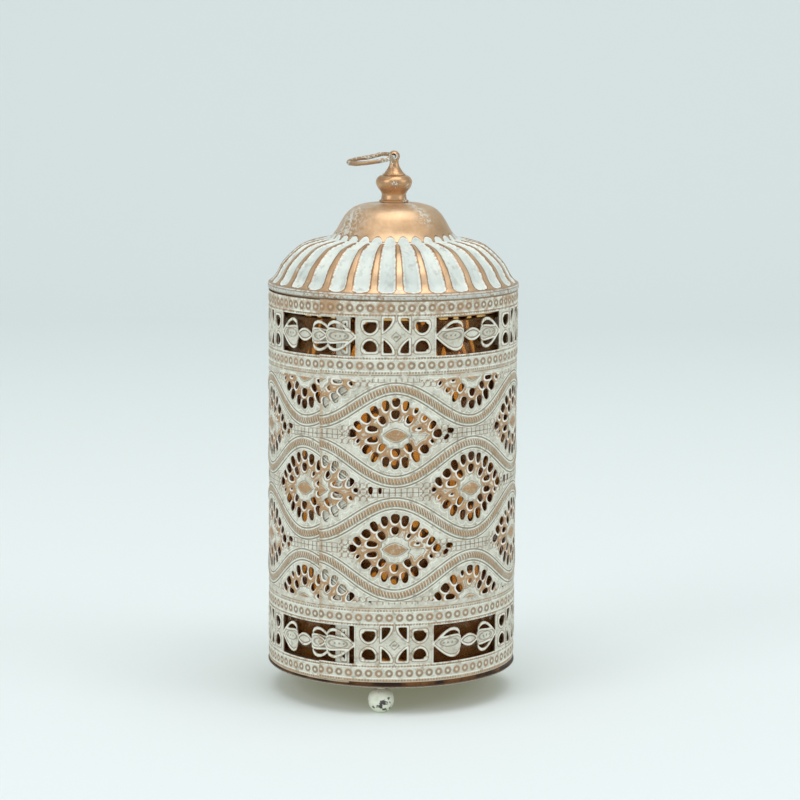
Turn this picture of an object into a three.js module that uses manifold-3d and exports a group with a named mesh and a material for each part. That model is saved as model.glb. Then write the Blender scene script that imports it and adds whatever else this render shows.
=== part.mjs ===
// Round candle lantern of pierced sheet metal with a glass liner and a fluted, domed lid.
// Millimetres and degrees, +Z up. The origin is on the table, under the lantern's axis.
// Azimuth 0 is the front, on the -Y side, and it grows towards +X.
import * as THREE from "three";
import { mergeVertices } from "three/addons/utils/BufferGeometryUtils.js";
import Module from "manifold-3d";

const wasm = await Module();
wasm.setup();

// Clearances
const slipGap = 0.3; // between a piece and the piece that it slides into or round
const lapGap = 0.25; // solder film between the two layers of the sheet's lap seam
const edgeMargin = 1.2; // metal left between a pierced hole and the end of the sheet

// Pierced sheet sleeve
const sleeveRadius = 55; // outer face
const sleeveHeight = 164.5;
const sheetThickness = 0.7;
const seamAzimuth = -33.6; // visible end of the sheet, on the outside of the lap
const lapLength = 14; // arc that the sheet overlaps itself by
const lapEase = 20; // arc over which the outer layer comes back to the sleeve's radius

// Ornament of the sleeve: arc lengths round it, heights from its middle or its ends
const columnPitch = 33.62; // arc between two columns of almond medallions
const facetsPerColumn = 3; // flat facets of the sheet in one pitch, so that few holes cross a bend
const medallionSpacing = 49.4; // height between two medallions of one column
const edgeDrops = [
  [0, 13],
  [8.5, 10],
  [13.9, 4.7],
]; // [arc, rise] of the drops round a quarter of a medallion
const dropLength = 5.4;
const dropWidth = 4.5;
const bossRise = 7.2; // holes over and under the medallion's boss
const bossHoleSize = 4.2;
const fieldMargin = 34.5; // from an end of the sleeve to the field of medallions
const friezeHeight = 16.3; // from an end of the sleeve to the middle of its frieze
const friezeWaist = 2; // solid half-height along the frieze's middle
const leafInner = 2.3; // diamond's leaf holes, arc from its centre
const leafOuter = 5.4;
const leafTop = 7.4;
const scrollInner = 7.8; // scroll holes beside the diamond
const scrollOuter = 14.9;
const scrollTop = 6.2;
const windowHalf = 16.7; // windows over and under a palmette, arc from its centre
const windowTop = 8.2;
const lensHalf = 4.6; // palmette's middle lens
const lensRise = 2.5;
const budShoulder = 10.5; // buds to each side of the lens, at their tallest
const budRise = 6.4;
const budHeel = 5.5;
const budHeelRise = 6;
const budTipRise = 2.6;

// Base plate
const plateUnderside = 11.3; // above the table
const plateThickness = 1.2;
const turningFacets = 30; // facets round the large turned and spun pieces
const rimOverhang = 0.2; // rim beyond the sleeve
const rimThickness = 1.1;
const rimRise = 1; // rim's underside over the plate's underside
const rimReturn = 4; // radial width of the slope up to the rim
const shoulderRise = 1.6; // visible strip between the rim and the sleeve
const shoulderInset = 0.3;
const flangeThickness = 0.8;
const flangeHeight = 7; // inside the sleeve

// Ball feet and their nuts
const footCount = 3;
const frontFootAzimuth = -5;
const footBallRadius = 5.65;
const footFlatRadius = 1.6;
const footNeckRadius = 2.2;
const studRadius = 1.25;
const studPastNut = 0.8;
const nutAcrossFlats = 5;
const nutThickness = 2;

// Glass liner
const glassClearance = 0.4; // to the base plate's flange
const glassWall = 1.8;
const glassHeadroom = 1; // under the lid's collar

// Candle cup for a 38 mm tealight
const cupBore = 20.2; // inner radius
const cupWall = 0.6;
const cupHeight = 12;
const cupBead = 0.5; // rolled edge proud of the wall
const cupRecessRadius = 4.6; // pressed recess for the rivet's head
const cupRecessDepth = 0.9;
const cupFacets = 18;
const rivetRadius = 1.5;
const rivetHeadRadius = 3.2;
const rivetHeadHeight = 0.8;
const rivetCrownShare = 0.6; // flat on the rivet's head, as a share of its radius

// Hoop that stiffens the sleeve's top edge
const hoopWall = 0.6;
const hoopDepth = 7;
const hoopLip = 0.5;
const hoopLipInset = 0.1;

// Lid
const lipOverhang = 0.3; // beyond the sleeve
const lipHeight = 2.6;
const lipRound = 0.9; // radius at the lip's upper edge
const collarWall = 0.6;
const collarDepth = 8; // below the joint
const collarFlangeWidth = 0.9;
const collarFlangeThickness = 1;
const fluteCount = 30;
const firstRibAzimuth = 3.1;
const fluteDepth = 0.95;
const fluteSinkIn = 0.8; // share of the depth that a flute goes towards the axis, and down
const fluteSinkDown = 0.6;
const ribHalfShare = 0.19; // half of a rib's foot as a share of one flute's pitch
const shoulderWidth = 26.5; // radial, from the lip to the crease under the dome
const shoulderHeight = 19.15;
const shoulderStations = [
  [0.13, 0.15],
  [0.27, 0.476],
  [0.536, 0.81],
  [0.78, 0.94],
]; // [inwards, up] between the lip and the crease, as shares of the shoulder
const domeRadius = 27.9;
const domeHeight = 15.45;
const domeStations = [
  [0.907, 0.206],
  [0.82, 0.481],
  [0.742, 0.688],
  [0.624, 0.863],
  [0.452, 0.963],
]; // [radius, rise] up the dome as shares of its own
const domeFlatRadius = 7.4; // seat of the finial
const lidWall = 1.6; // at a rib

// Finial with its eye, and what holds it
const finialFacets = 14;
const finialFlangeRadius = 6.7;
const finialFlangeThickness = 0.9;
const finialFlangeChamfer = 0.4;
const finialWaistInset = 0.6; // waist's radius below the flange's
const finialBulbRadius = 8;
const finialBulbHeight = 8.6; // bulb's widest place, over the dome
const finialBulbDrop = 4; // from there down to the bulb's foot
const finialBulbRise = 3.1; // and up to its top
const finialBulbTopShare = 0.67; // radii as shares of the bulb's: its top, and the cone's foot and middle
const finialConeFootShare = 0.62;
const finialConeMiddleShare = 0.38;
const finialNeckRadius = 2.05;
const finialConeTop = 17;
const eyeHeight = 20.1; // eye's centre, over the dome
const eyeRadius = 2.5;
const finialStudRadius = 2;
const finialStudPastNut = 1;
const washerRadius = 5;
const washerThickness = 0.8;
const finialNutAcrossFlats = 7;
const finialNutThickness = 3.2;

// Hanging ring
const wireRadius = 0.95;
const ringRadius = 10.1; // to the wire's centre
const eyeClearance = 0.55; // between the wire and the eye's bore
const ringDroop = 8; // below level, as it lies towards -X

// Sizes that follow from those above
const facetArc = columnPitch / facetsPerColumn;
const facetCosine = Math.cos(facetArc / sleeveRadius / 2);
const sheetLength = 2 * Math.PI * sleeveRadius + lapLength;
const plateTop = plateUnderside + plateThickness;
const rimTop = plateUnderside + rimRise + rimThickness;
const sleeveBottom = rimTop + shoulderRise;
const sleeveTop = sleeveBottom + sleeveHeight;
const jointHeight = sleeveTop + hoopLip;
const sleeveBore = (sleeveRadius - sheetThickness) * facetCosine; // to the flats of its facets
const flangeRadius = sleeveBore - slipGap;
const flangeBore = flangeRadius - flangeThickness;
const glassRadius = flangeBore - glassClearance;
const glassBore = glassRadius - glassWall;
const nutCornerRadius = nutAcrossFlats / Math.sqrt(3);
const footCircleRadius = glassBore - nutCornerRadius - 2 * slipGap;
const hoopRadius = sleeveBore - slipGap;
const hoopBore = hoopRadius - hoopWall;
const collarRadius = hoopBore - slipGap;
const collarBore = collarRadius - collarWall;
const glassTop = jointHeight - collarDepth - glassHeadroom;
const lipRadius = sleeveRadius + lipOverhang;
const creaseHeight = lipHeight + shoulderHeight;
const domeTop = creaseHeight + domeHeight;
const finialSeat = jointHeight + domeTop;
const eyeBore = wireRadius + eyeClearance;

const radians = THREE.MathUtils.degToRad;

// Solids

function toManifold(geometry) {
  const bare = geometry.clone();
  bare.deleteAttribute("normal");
  bare.deleteAttribute("uv");
  const merged = mergeVertices(bare, 1e-4);
  return new wasm.Manifold(
    new wasm.Mesh({
      numProp: 3,
      vertProperties: new Float32Array(merged.attributes.position.array),
      triVerts: new Uint32Array(merged.index.array),
    }),
  );
}

function toGeometry(solid) {
  const mesh = solid.getMesh();
  const geometry = new THREE.BufferGeometry();
  const positions = new THREE.BufferAttribute(mesh.vertProperties, mesh.numProp);
  geometry.setAttribute("position", positions);
  geometry.setIndex(new THREE.BufferAttribute(mesh.triVerts, 1));
  geometry.computeVertexNormals();
  return geometry;
}

// Solid of revolution about Z from [radius, height] pairs, which run anticlockwise.
function revolve(profile, facets) {
  const points = profile.map(([radius, height]) => new THREE.Vector2(radius, height));
  return new THREE.LatheGeometry(points, facets).rotateX(Math.PI / 2);
}

// The same for a ring, whose section doesn't touch the axis.
function revolveRing(section, facets) {
  return revolve([...section, section[0]], facets);
}

// Upright round bar, as a cutter or a plain pin.
function upright(radius, bottom, top, facets) {
  const profile = [
    [0, bottom],
    [radius, bottom],
    [radius, top],
    [0, top],
  ];
  return revolve(profile, facets);
}

// Points of a smooth curve through [radius, height] pairs.
function smooth(pairs, steps) {
  const curve = new THREE.SplineCurve(pairs.map(([x, y]) => new THREE.Vector2(x, y)));
  return curve.getPoints(steps).map((point) => [point.x, point.y]);
}

// The profile moved inwards by a wall's thickness, square to itself.
function inset(profile, wall) {
  return profile.map(([x, y], i) => {
    const before = profile[Math.max(i - 1, 0)];
    const after = profile[Math.min(i + 1, profile.length - 1)];
    const along = new THREE.Vector2(after[0] - before[0], after[1] - before[1]).normalize();
    return [x - along.y * wall, y + along.x * wall];
  });
}

function hexNut(acrossFlats, thickness, boreRadius) {
  const cornerRadius = acrossFlats / Math.sqrt(3);
  const corners = [0, 1, 2, 3, 4, 5].map((corner) => {
    const angle = (corner * Math.PI) / 3;
    return new THREE.Vector2(cornerRadius * Math.cos(angle), cornerRadius * Math.sin(angle));
  });
  const outline = new THREE.Shape(corners);
  outline.holes.push(new THREE.Path().absarc(0, 0, boreRadius, 0, 2 * Math.PI, true));
  return new THREE.ExtrudeGeometry(outline, {
    depth: thickness,
    bevelEnabled: false,
    curveSegments: 4,
  });
}

// Pierced sleeve: one sheet rolled round and lapped at its seam

const seamAngle = radians(seamAzimuth);

// Arcs of the bends in the sheet, from its outer end to its inner one.
function bends() {
  const arcs = [0];
  for (let arc = facetArc / 2; arc < sheetLength - facetArc / 4; arc += facetArc) {
    arcs.push(arc);
  }
  arcs.push(sheetLength);
  return arcs;
}

// How far the sheet's outer layer stands out over its own inner end.
function lapLift(arc) {
  const along = (arc - lapLength) / lapEase;
  return (sheetThickness + lapGap) * (1 - THREE.MathUtils.smoothstep(along, 0, 1));
}

function sheetEdge(radius) {
  return bends().map((arc) => {
    const angle = seamAngle + arc / sleeveRadius;
    const lifted = radius + lapLift(arc);
    return new THREE.Vector2(lifted * Math.sin(angle), -lifted * Math.cos(angle));
  });
}

function rolledSheet() {
  const outer = sheetEdge(sleeveRadius);
  const inner = sheetEdge(sleeveRadius - sheetThickness).reverse();
  const section = new THREE.Shape([...outer, ...inner]);
  return new THREE.ExtrudeGeometry(section, { depth: sleeveHeight, bevelEnabled: false });
}

// A pierced hole is an outline of [arc, rise] points about its own centre, cut square to the sheet.
const cutReach = 4; // of a hole's cutter, to each side of the sheet

function pierce(outline, arc, height) {
  const shape = new THREE.Shape(outline.map(([x, y]) => new THREE.Vector2(x, y)));
  const cutter = new THREE.ExtrudeGeometry(shape, { depth: 2 * cutReach, bevelEnabled: false });
  const angle = seamAngle + arc / sleeveRadius;
  const tangent = new THREE.Vector3(Math.cos(angle), Math.sin(angle), 0);
  const outward = new THREE.Vector3(Math.sin(angle), -Math.cos(angle), 0);
  const up = new THREE.Vector3(0, 0, 1);
  const place = new THREE.Matrix4().makeBasis(tangent, up, outward);
  const centre = outward.clone().multiplyScalar(sleeveRadius - cutReach);
  centre.z = height;
  return cutter.applyMatrix4(place.setPosition(centre));
}

// Half the arc that an outline takes.
function reachOf(outline) {
  return Math.max(...outline.map(([x]) => Math.abs(x)));
}

// Four-cornered drop, its point turned to an angle.
function drop(length, width, angle) {
  const corners = [
    [length / 2, 0],
    [-length / 8, width / 2],
    [-length / 2, 0],
    [-length / 8, -width / 2],
  ];
  const cosine = Math.cos(angle);
  const sine = Math.sin(angle);
  return corners.map(([x, y]) => [x * cosine - y * sine, x * sine + y * cosine]);
}

// Holes of one almond medallion as [outline, arc, rise] about its centre.
function medallion() {
  const holes = [];
  for (const half of [-1, 1]) {
    for (const [arc, rise] of edgeDrops) {
      const sides = arc > 0 ? [-1, 1] : [1];
      for (const side of sides) {
        const outwards = Math.atan2(half * rise, side * arc);
        holes.push([drop(dropLength, dropWidth, outwards), side * arc, half * rise]);
      }
    }
    holes.push([drop(bossHoleSize, bossHoleSize, (half * Math.PI) / 2), 0, half * bossRise]);
  }
  return holes;
}

// An outline drawn in the first quarter, as [outline, arc, rise] in all four.
function inFourQuarters(outline) {
  const arcs = outline.map(([arc]) => arc);
  const middle = (Math.min(...arcs) + Math.max(...arcs)) / 2;
  const holes = [];
  for (const side of [-1, 1]) {
    for (const half of [-1, 1]) {
      const turned = outline.map(([arc, rise]) => [side * (arc - middle), half * rise]);
      holes.push([side * half < 0 ? turned.reverse() : turned, side * middle, 0]);
    }
  }
  return holes;
}

// Four leaf holes round a diamond, with a scroll hole beyond each.
function diamondGroup() {
  const leaf = [
    [leafInner, friezeWaist],
    [leafOuter, friezeWaist],
    [leafOuter, leafTop],
  ];
  const scroll = [
    [scrollInner, friezeWaist],
    [scrollOuter, friezeWaist],
    [(scrollInner + 2 * scrollOuter) / 3, scrollTop],
    [scrollInner, scrollTop],
  ];
  return [...inFourQuarters(leaf), ...inFourQuarters(scroll)];
}

// Two long windows, over and under the chain of a middle lens and two buds.
function palmette() {
  const half = [
    [lensHalf, lensRise],
    [budHeel, budHeelRise],
    [budShoulder, budRise],
    [windowHalf, budTipRise],
    [windowHalf, windowTop],
  ];
  const mirrored = half.map(([arc, rise]) => [-arc, rise]).reverse();
  const upper = [...half, ...mirrored];
  const lower = upper.map(([arc, rise]) => [arc, -rise]).reverse();
  return [
    [upper, 0, 0],
    [lower, 0, 0],
  ];
}

// All holes, each kept if it lies whole between the lap and the hidden end of the sheet.
function piercings() {
  const middle = sleeveHeight / 2;
  const field = middle - fieldMargin;
  const cutters = [];
  const add = (holes, arc, height, limit) => {
    for (const [outline, holeArc, holeRise] of holes) {
      const at = arc + holeArc;
      const rise = height + holeRise;
      const reach = reachOf(outline) + edgeMargin;
      const inSheet = at - reach > lapLength && at + reach < sheetLength - lapLength;
      if (inSheet && Math.abs(rise) < limit) {
        cutters.push(pierce(outline, at, sleeveBottom + middle + rise));
      }
    }
  };
  const columns = Math.floor(sheetLength / columnPitch);
  for (let column = 0; column <= columns; column++) {
    const arc = column * columnPitch;
    const paired = column % 2 === 1;
    const rises = paired ? [-0.5, 0.5] : [-1, 0, 1];
    for (const rise of rises) {
      add(medallion(), arc, rise * medallionSpacing, field);
    }
    for (const end of [-1, 1]) {
      const height = end * (middle - friezeHeight);
      add(paired ? diamondGroup() : palmette(), arc, height, middle);
    }
  }
  return cutters;
}

function piercedSleeve() {
  const sheet = toManifold(rolledSheet().translate(0, 0, sleeveBottom));
  const cutters = piercings().map(toManifold);
  return toGeometry(sheet.subtract(cutters.reduce((all, one) => all.add(one))));
}

// Base plate: a spun dish with a turned-up rim, a shoulder under the sleeve and a flange inside it

function footPlace(index) {
  const azimuth = radians(frontFootAzimuth) + (index * 2 * Math.PI) / footCount;
  const x = footCircleRadius * Math.sin(azimuth);
  return new THREE.Vector3(x, -footCircleRadius * Math.cos(azimuth), 0);
}

function basePlate() {
  const rimRadius = sleeveRadius + rimOverhang;
  const rimUnderside = plateUnderside + rimRise;
  const shoulderRadius = sleeveRadius - shoulderInset;
  const profile = [
    [0, plateUnderside],
    [rimRadius - rimReturn, plateUnderside],
    [rimRadius - rimThickness, rimUnderside],
    [rimRadius, rimUnderside + rimThickness / 3],
    [rimRadius, rimTop - rimThickness / 3],
    [rimRadius - rimThickness / 3, rimTop],
    [shoulderRadius, rimTop],
    [shoulderRadius, sleeveBottom],
    [flangeRadius, sleeveBottom],
    [flangeRadius, sleeveBottom + flangeHeight],
    [flangeBore, sleeveBottom + flangeHeight],
    [flangeBore, plateTop],
    [0, plateTop],
  ];
  const below = plateUnderside - plateThickness;
  const above = plateTop + plateThickness;
  let plate = toManifold(revolve(profile, turningFacets));
  plate = plate.subtract(toManifold(upright(rivetRadius + slipGap, below, above, 8)));
  for (let foot = 0; foot < footCount; foot++) {
    const hole = upright(studRadius + slipGap, below, above, 8);
    const place = footPlace(foot);
    plate = plate.subtract(toManifold(hole.translate(place.x, place.y, 0)));
  }
  return toGeometry(plate);
}

// Turned ball foot with a small flat to stand on, a neck and the stud of its nut.
function ballFoot() {
  const flatAngle = Math.asin(footFlatRadius / footBallRadius);
  const neckAngle = Math.asin(footNeckRadius / footBallRadius);
  const centre = footBallRadius * Math.cos(flatAngle);
  const arcSteps = 5;
  const profile = [[0, 0]];
  for (let step = 0; step <= arcSteps; step++) {
    const angle = flatAngle + ((Math.PI - neckAngle - flatAngle) * step) / arcSteps;
    const height = centre - footBallRadius * Math.cos(angle);
    profile.push([footBallRadius * Math.sin(angle), Math.max(height, 0)]);
  }
  const studTop = plateTop + nutThickness + studPastNut;
  profile.push([footNeckRadius, plateUnderside], [studRadius, plateUnderside]);
  profile.push([studRadius, studTop], [0, studTop]);
  return revolve(profile, 10);
}

// Glass liner, open at both ends, standing on the base plate inside its flange.
function glassCylinder() {
  const section = [
    [glassBore, plateTop],
    [glassRadius, plateTop],
    [glassRadius, glassTop],
    [glassBore, glassTop],
  ];
  return revolveRing(section, turningFacets);
}

function candleCup() {
  const outer = cupBore + cupWall;
  const floor = plateTop + cupWall;
  const seat = floor + cupRecessDepth;
  const rim = plateTop + cupHeight;
  const section = [
    [rivetRadius + slipGap, plateTop],
    [cupRecessRadius + cupWall, plateTop],
    [cupRecessRadius + cupWall, seat - cupWall],
    [outer, seat - cupWall],
    [outer, rim - 2 * cupBead],
    [outer + cupBead, rim - cupBead],
    [outer, rim],
    [cupBore, rim - cupBead / 2],
    [cupBore, seat],
    [cupRecessRadius, seat],
    [cupRecessRadius, floor],
    [rivetRadius + slipGap, floor],
  ];
  return revolveRing(section, cupFacets);
}

// Rivet through the cup's floor and the base plate, with a domed head inside the cup.
function cupRivet() {
  const floor = plateTop + cupWall;
  const profile = [
    [0, plateUnderside - rivetHeadHeight],
    [rivetHeadRadius * rivetCrownShare, plateUnderside - rivetHeadHeight],
    [rivetHeadRadius, plateUnderside],
    [rivetRadius, plateUnderside],
    [rivetRadius, floor],
    [rivetHeadRadius, floor],
    [rivetHeadRadius * rivetCrownShare, floor + rivetHeadHeight],
    [0, floor + rivetHeadHeight],
  ];
  return revolve(profile, 8);
}

// Hoop soldered inside the sleeve's top, with a lip over the sheet's edge.
function topHoop() {
  const lipRadiusOfHoop = sleeveRadius - hoopLipInset;
  const section = [
    [hoopBore, jointHeight - hoopDepth],
    [hoopRadius, jointHeight - hoopDepth],
    [hoopRadius, sleeveTop],
    [lipRadiusOfHoop, sleeveTop],
    [lipRadiusOfHoop, jointHeight],
    [hoopBore, jointHeight],
  ];
  return revolveRing(section, turningFacets);
}

// Lid: heights are over the joint, where the lid's group stands

const shoulderProfile = smooth(
  [
    [lipRadius - lipRound, lipHeight],
    ...shoulderStations.map(([inwards, up]) => {
      return [lipRadius - inwards * shoulderWidth, lipHeight + up * shoulderHeight];
    }),
    [domeRadius, creaseHeight],
  ],
  6,
);

const domeProfile = smooth(
  [
    [domeRadius, creaseHeight],
    ...domeStations.map(([out, rise]) => [out * domeRadius, creaseHeight + rise * domeHeight]),
    [domeFlatRadius, domeTop],
  ],
  6,
);

// Stations round one flute as shares of its pitch from a rib's crest, with the depth at each.
const fluteStations = [
  [0, 0],
  [ribHalfShare, 1],
  [1 - ribHalfShare, 1],
];

// Closed solid under the ribs and flutes: rows up the profile, stations round it, a cap at each end.
function flutedSolid() {
  const rows = [[lipRadius, 0], [lipRadius, lipHeight - lipRound], ...shoulderProfile];
  const positions = [];
  const triangles = [];
  rows.forEach(([radius, height], row) => {
    const share = THREE.MathUtils.clamp((row - 1) / (rows.length - 2), 0, 1);
    const depth = fluteDepth * Math.min(1, Math.sin(Math.PI * share) * 2);
    for (let flute = 0; flute < fluteCount; flute++) {
      for (const [place, sink] of fluteStations) {
        const angle = radians(firstRibAzimuth) + ((flute + place) * 2 * Math.PI) / fluteCount;
        const sunk = radius - depth * sink * fluteSinkIn;
        const lowered = height - depth * sink * fluteSinkDown;
        positions.push(sunk * Math.sin(angle), -sunk * Math.cos(angle), lowered);
      }
    }
  });
  const round = fluteCount * fluteStations.length;
  for (let row = 0; row + 1 < rows.length; row++) {
    for (let station = 0; station < round; station++) {
      const a = row * round + station;
      const b = row * round + ((station + 1) % round);
      triangles.push(a, b, b + round, a, b + round, a + round);
    }
  }
  const bottomCentre = positions.length / 3;
  positions.push(0, 0, rows[0][1], 0, 0, rows.at(-1)[1]);
  const topRow = (rows.length - 1) * round;
  for (let station = 0; station < round; station++) {
    const next = (station + 1) % round;
    triangles.push(bottomCentre, next, station);
    triangles.push(bottomCentre + 1, topRow + station, topRow + next);
  }
  const geometry = new THREE.BufferGeometry();
  geometry.setAttribute("position", new THREE.Float32BufferAttribute(positions, 3));
  geometry.setIndex(triangles);
  return geometry;
}

const collarSeat = lipHeight - lipRound; // flat ledge inside the lip, over the joint
const lipBore = collarRadius + collarFlangeWidth + slipGap;

function lidShell() {
  const domeRoot = creaseHeight - 2 * lidWall;
  const dome = [[0, domeRoot], [domeRadius - 0.2, domeRoot], ...domeProfile, [0, domeTop]];
  const under = [...shoulderProfile, ...domeProfile.slice(1)];
  const inner = inset(under, lidWall).filter(([, height], i) => height > collarSeat && i % 2 === 0);
  const ceiling = domeTop - lidWall;
  const cavity = [
    [0, -1],
    [lipBore, -1],
    [lipBore, collarSeat],
    [inner[0][0], collarSeat],
    ...inner.filter(([, height]) => height < ceiling - 0.05),
    [washerRadius + 1, ceiling],
    [0, ceiling],
  ];
  const studHole = upright(finialStudRadius + slipGap, ceiling - 1, domeTop + 1, 8);
  const outside = toManifold(flutedSolid()).add(toManifold(revolve(dome, turningFacets)));
  const hollow = outside.subtract(toManifold(revolve(cavity, turningFacets)));
  return toGeometry(hollow.subtract(toManifold(studHole)));
}

// Collar soldered under the lid's lip, which slides into the hoop.
function lidCollar() {
  const flangeEdge = collarRadius + collarFlangeWidth;
  const section = [
    [collarBore, -collarDepth],
    [collarRadius, -collarDepth],
    [collarRadius, collarSeat - collarFlangeThickness],
    [flangeEdge, collarSeat - collarFlangeThickness],
    [flangeEdge, collarSeat],
    [collarBore, collarSeat],
  ];
  return revolveRing(section, turningFacets);
}

// Turned finial, its heights over the dome: stud, flange, bulb, cone and the bored eye.
function finial() {
  const studEnd = -(lidWall + washerThickness + finialNutThickness + finialStudPastNut);
  const waistRadius = finialFlangeRadius - finialWaistInset;
  const bulbFoot = finialBulbHeight - finialBulbDrop;
  const bulbTop = finialBulbHeight + finialBulbRise;
  const bulb = smooth(
    [
      [(waistRadius + finialFlangeRadius) / 2, bulbFoot],
      [finialBulbRadius, finialBulbHeight],
      [finialBulbTopShare * finialBulbRadius, bulbTop],
    ],
    4,
  );
  const cone = smooth(
    [
      [finialConeFootShare * finialBulbRadius, bulbTop],
      [finialConeMiddleShare * finialBulbRadius, (bulbTop + finialConeTop) / 2],
      [finialNeckRadius, finialConeTop],
    ],
    2,
  );
  const eye = [];
  const eyeSteps = 5;
  const eyeFoot = Math.asin(finialNeckRadius / eyeRadius / 1.1);
  for (let step = 0; step < eyeSteps; step++) {
    const angle = eyeFoot + ((Math.PI - eyeFoot) * step) / eyeSteps;
    eye.push([eyeRadius * Math.sin(angle), eyeHeight - eyeRadius * Math.cos(angle)]);
  }
  const profile = [
    [0, studEnd],
    [finialStudRadius, studEnd],
    [finialStudRadius, 0],
    [finialFlangeRadius, 0],
    [finialFlangeRadius, finialFlangeThickness],
    [waistRadius, finialFlangeThickness + finialFlangeChamfer],
    [waistRadius, bulbFoot - finialFlangeThickness],
    ...bulb,
    ...cone,
    ...eye,
    [0, eyeHeight + eyeRadius],
  ];
  const bore = new THREE.CylinderGeometry(eyeBore, eyeBore, 4 * eyeRadius, 12);
  const turned = toManifold(revolve(profile, finialFacets));
  return toGeometry(turned.subtract(toManifold(bore.translate(0, 0, eyeHeight))));
}

function finialWasher() {
  const section = [
    [finialStudRadius + slipGap, -lidWall - washerThickness],
    [washerRadius, -lidWall - washerThickness],
    [washerRadius, -lidWall],
    [finialStudRadius + slipGap, -lidWall],
  ];
  return revolveRing(section, 10);
}

// Materials

const finish = (color, roughness, metalness) => {
  return new THREE.MeshStandardMaterial({ color, roughness, metalness });
};
const whitewash = finish(0xdedfd2, 0.62, 0.25);
const wornWhitewash = finish(0xd9cdb8, 0.55, 0.35);
const copper = finish(0xc38f63, 0.38, 0.85);
const darkCopper = finish(0x6e4527, 0.5, 0.8);
const steel = finish(0xb0aca4, 0.4, 0.9);
const amberGlass = new THREE.MeshStandardMaterial({
  color: 0xd08a3c,
  roughness: 0.08,
  metalness: 0,
  transparent: true,
  opacity: 0.4,
});

// Assembly

const lantern = new THREE.Group();

function place(parent, name, geometry, material) {
  const mesh = new THREE.Mesh(geometry, material);
  mesh.name = name;
  parent.add(mesh);
  return mesh;
}

place(lantern, "base_plate", basePlate(), darkCopper);
for (let foot = 0; foot < footCount; foot++) {
  place(lantern, `ball_foot_${foot + 1}`, ballFoot(), whitewash).position.copy(footPlace(foot));
  const nut = hexNut(nutAcrossFlats, nutThickness, studRadius + slipGap);
  const placed = place(lantern, `foot_nut_${foot + 1}`, nut, steel);
  placed.position.copy(footPlace(foot)).setZ(plateTop);
}
place(lantern, "candle_cup", candleCup(), copper);
place(lantern, "cup_rivet", cupRivet(), steel);
place(lantern, "glass_cylinder", glassCylinder(), amberGlass);
place(lantern, "pierced_sleeve", piercedSleeve(), whitewash);
place(lantern, "top_hoop", topHoop(), darkCopper);

const lid = new THREE.Group();
lid.position.z = jointHeight;
lantern.add(lid);
place(lid, "lid_shell", lidShell(), wornWhitewash);
place(lid, "lid_collar", lidCollar(), copper);

const crown = new THREE.Group();
crown.position.z = finialSeat;
lantern.add(crown);
place(crown, "finial", finial(), copper);
place(crown, "finial_washer", finialWasher(), steel);
const finialNut = hexNut(finialNutAcrossFlats, finialNutThickness, finialStudRadius + slipGap);
const nutDrop = lidWall + washerThickness + finialNutThickness;
place(crown, "finial_nut", finialNut, steel).position.z = -nutDrop;

const ringHang = new THREE.Group();
ringHang.position.z = eyeHeight;
ringHang.rotation.y = radians(-ringDroop);
crown.add(ringHang);
const ring = new THREE.TorusGeometry(ringRadius, wireRadius, 8, 20);
place(ringHang, "hanging_ring", ring, copper).position.x = -ringRadius;

export default lantern;
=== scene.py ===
import math

import bpy
import numpy as np
from mathutils import Matrix, Vector


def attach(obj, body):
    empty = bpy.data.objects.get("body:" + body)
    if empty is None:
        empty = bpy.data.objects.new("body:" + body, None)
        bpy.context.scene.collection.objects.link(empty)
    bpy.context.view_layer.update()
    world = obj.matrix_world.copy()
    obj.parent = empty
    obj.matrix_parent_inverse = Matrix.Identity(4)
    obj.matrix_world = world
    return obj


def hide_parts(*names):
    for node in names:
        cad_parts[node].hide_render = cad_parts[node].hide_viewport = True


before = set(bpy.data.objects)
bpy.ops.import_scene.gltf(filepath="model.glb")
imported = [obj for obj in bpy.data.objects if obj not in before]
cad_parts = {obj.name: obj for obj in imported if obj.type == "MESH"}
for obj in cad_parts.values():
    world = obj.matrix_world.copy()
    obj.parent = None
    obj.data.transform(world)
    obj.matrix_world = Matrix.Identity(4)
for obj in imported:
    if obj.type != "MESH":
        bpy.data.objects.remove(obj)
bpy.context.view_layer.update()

# Row frame; constants are in millimetres and degrees. Azimuth 0 is the front (-Y) and grows towards +X.
# On the sleeve, u is the arc along the sheet from its outer end, k counts the pattern's columns (two
# medallions in even ones, three in odd ones) and c is the rise over the pattern's middle.
MM = 0.001
IMAGE = 800  # pixels, both ways

# ---- Camera, solved from the photograph ----
FOCAL = 2549.0  # in pixels
PITCH = 8.586
DISTANCE = 1131.64
AIM_HEIGHT = 129.424
AXIS_PIXEL = 392.669  # image column of the lantern's axis at the image's middle row
ROLL = 0.383

# ---- Driving sizes, as in the CAD part ----
SLEEVE_R = 55.0
SLEEVE_H = 164.5
SLEEVE_Z = 15.0
SEAM = -33.6  # azimuth of the sheet's outer end
LAP = 14.0
LAP_EASE = 20.0  # arc behind the lap on which the sheet comes back to its circle
LAP_LIFT = 0.95
JOINT_Z = 180.0  # lower edge of the lid, on the hoop
LIP_R = 55.3
LIP_H = 2.6
DOME_R = 27.9
CREASE_H = 21.75  # where the dome starts, over JOINT_Z as LIP_H and LID_TOP are
DOME_H = 15.45
LID_TOP = 37.2
EYE_Z = 237.3  # middle of the finial's eye

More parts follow.
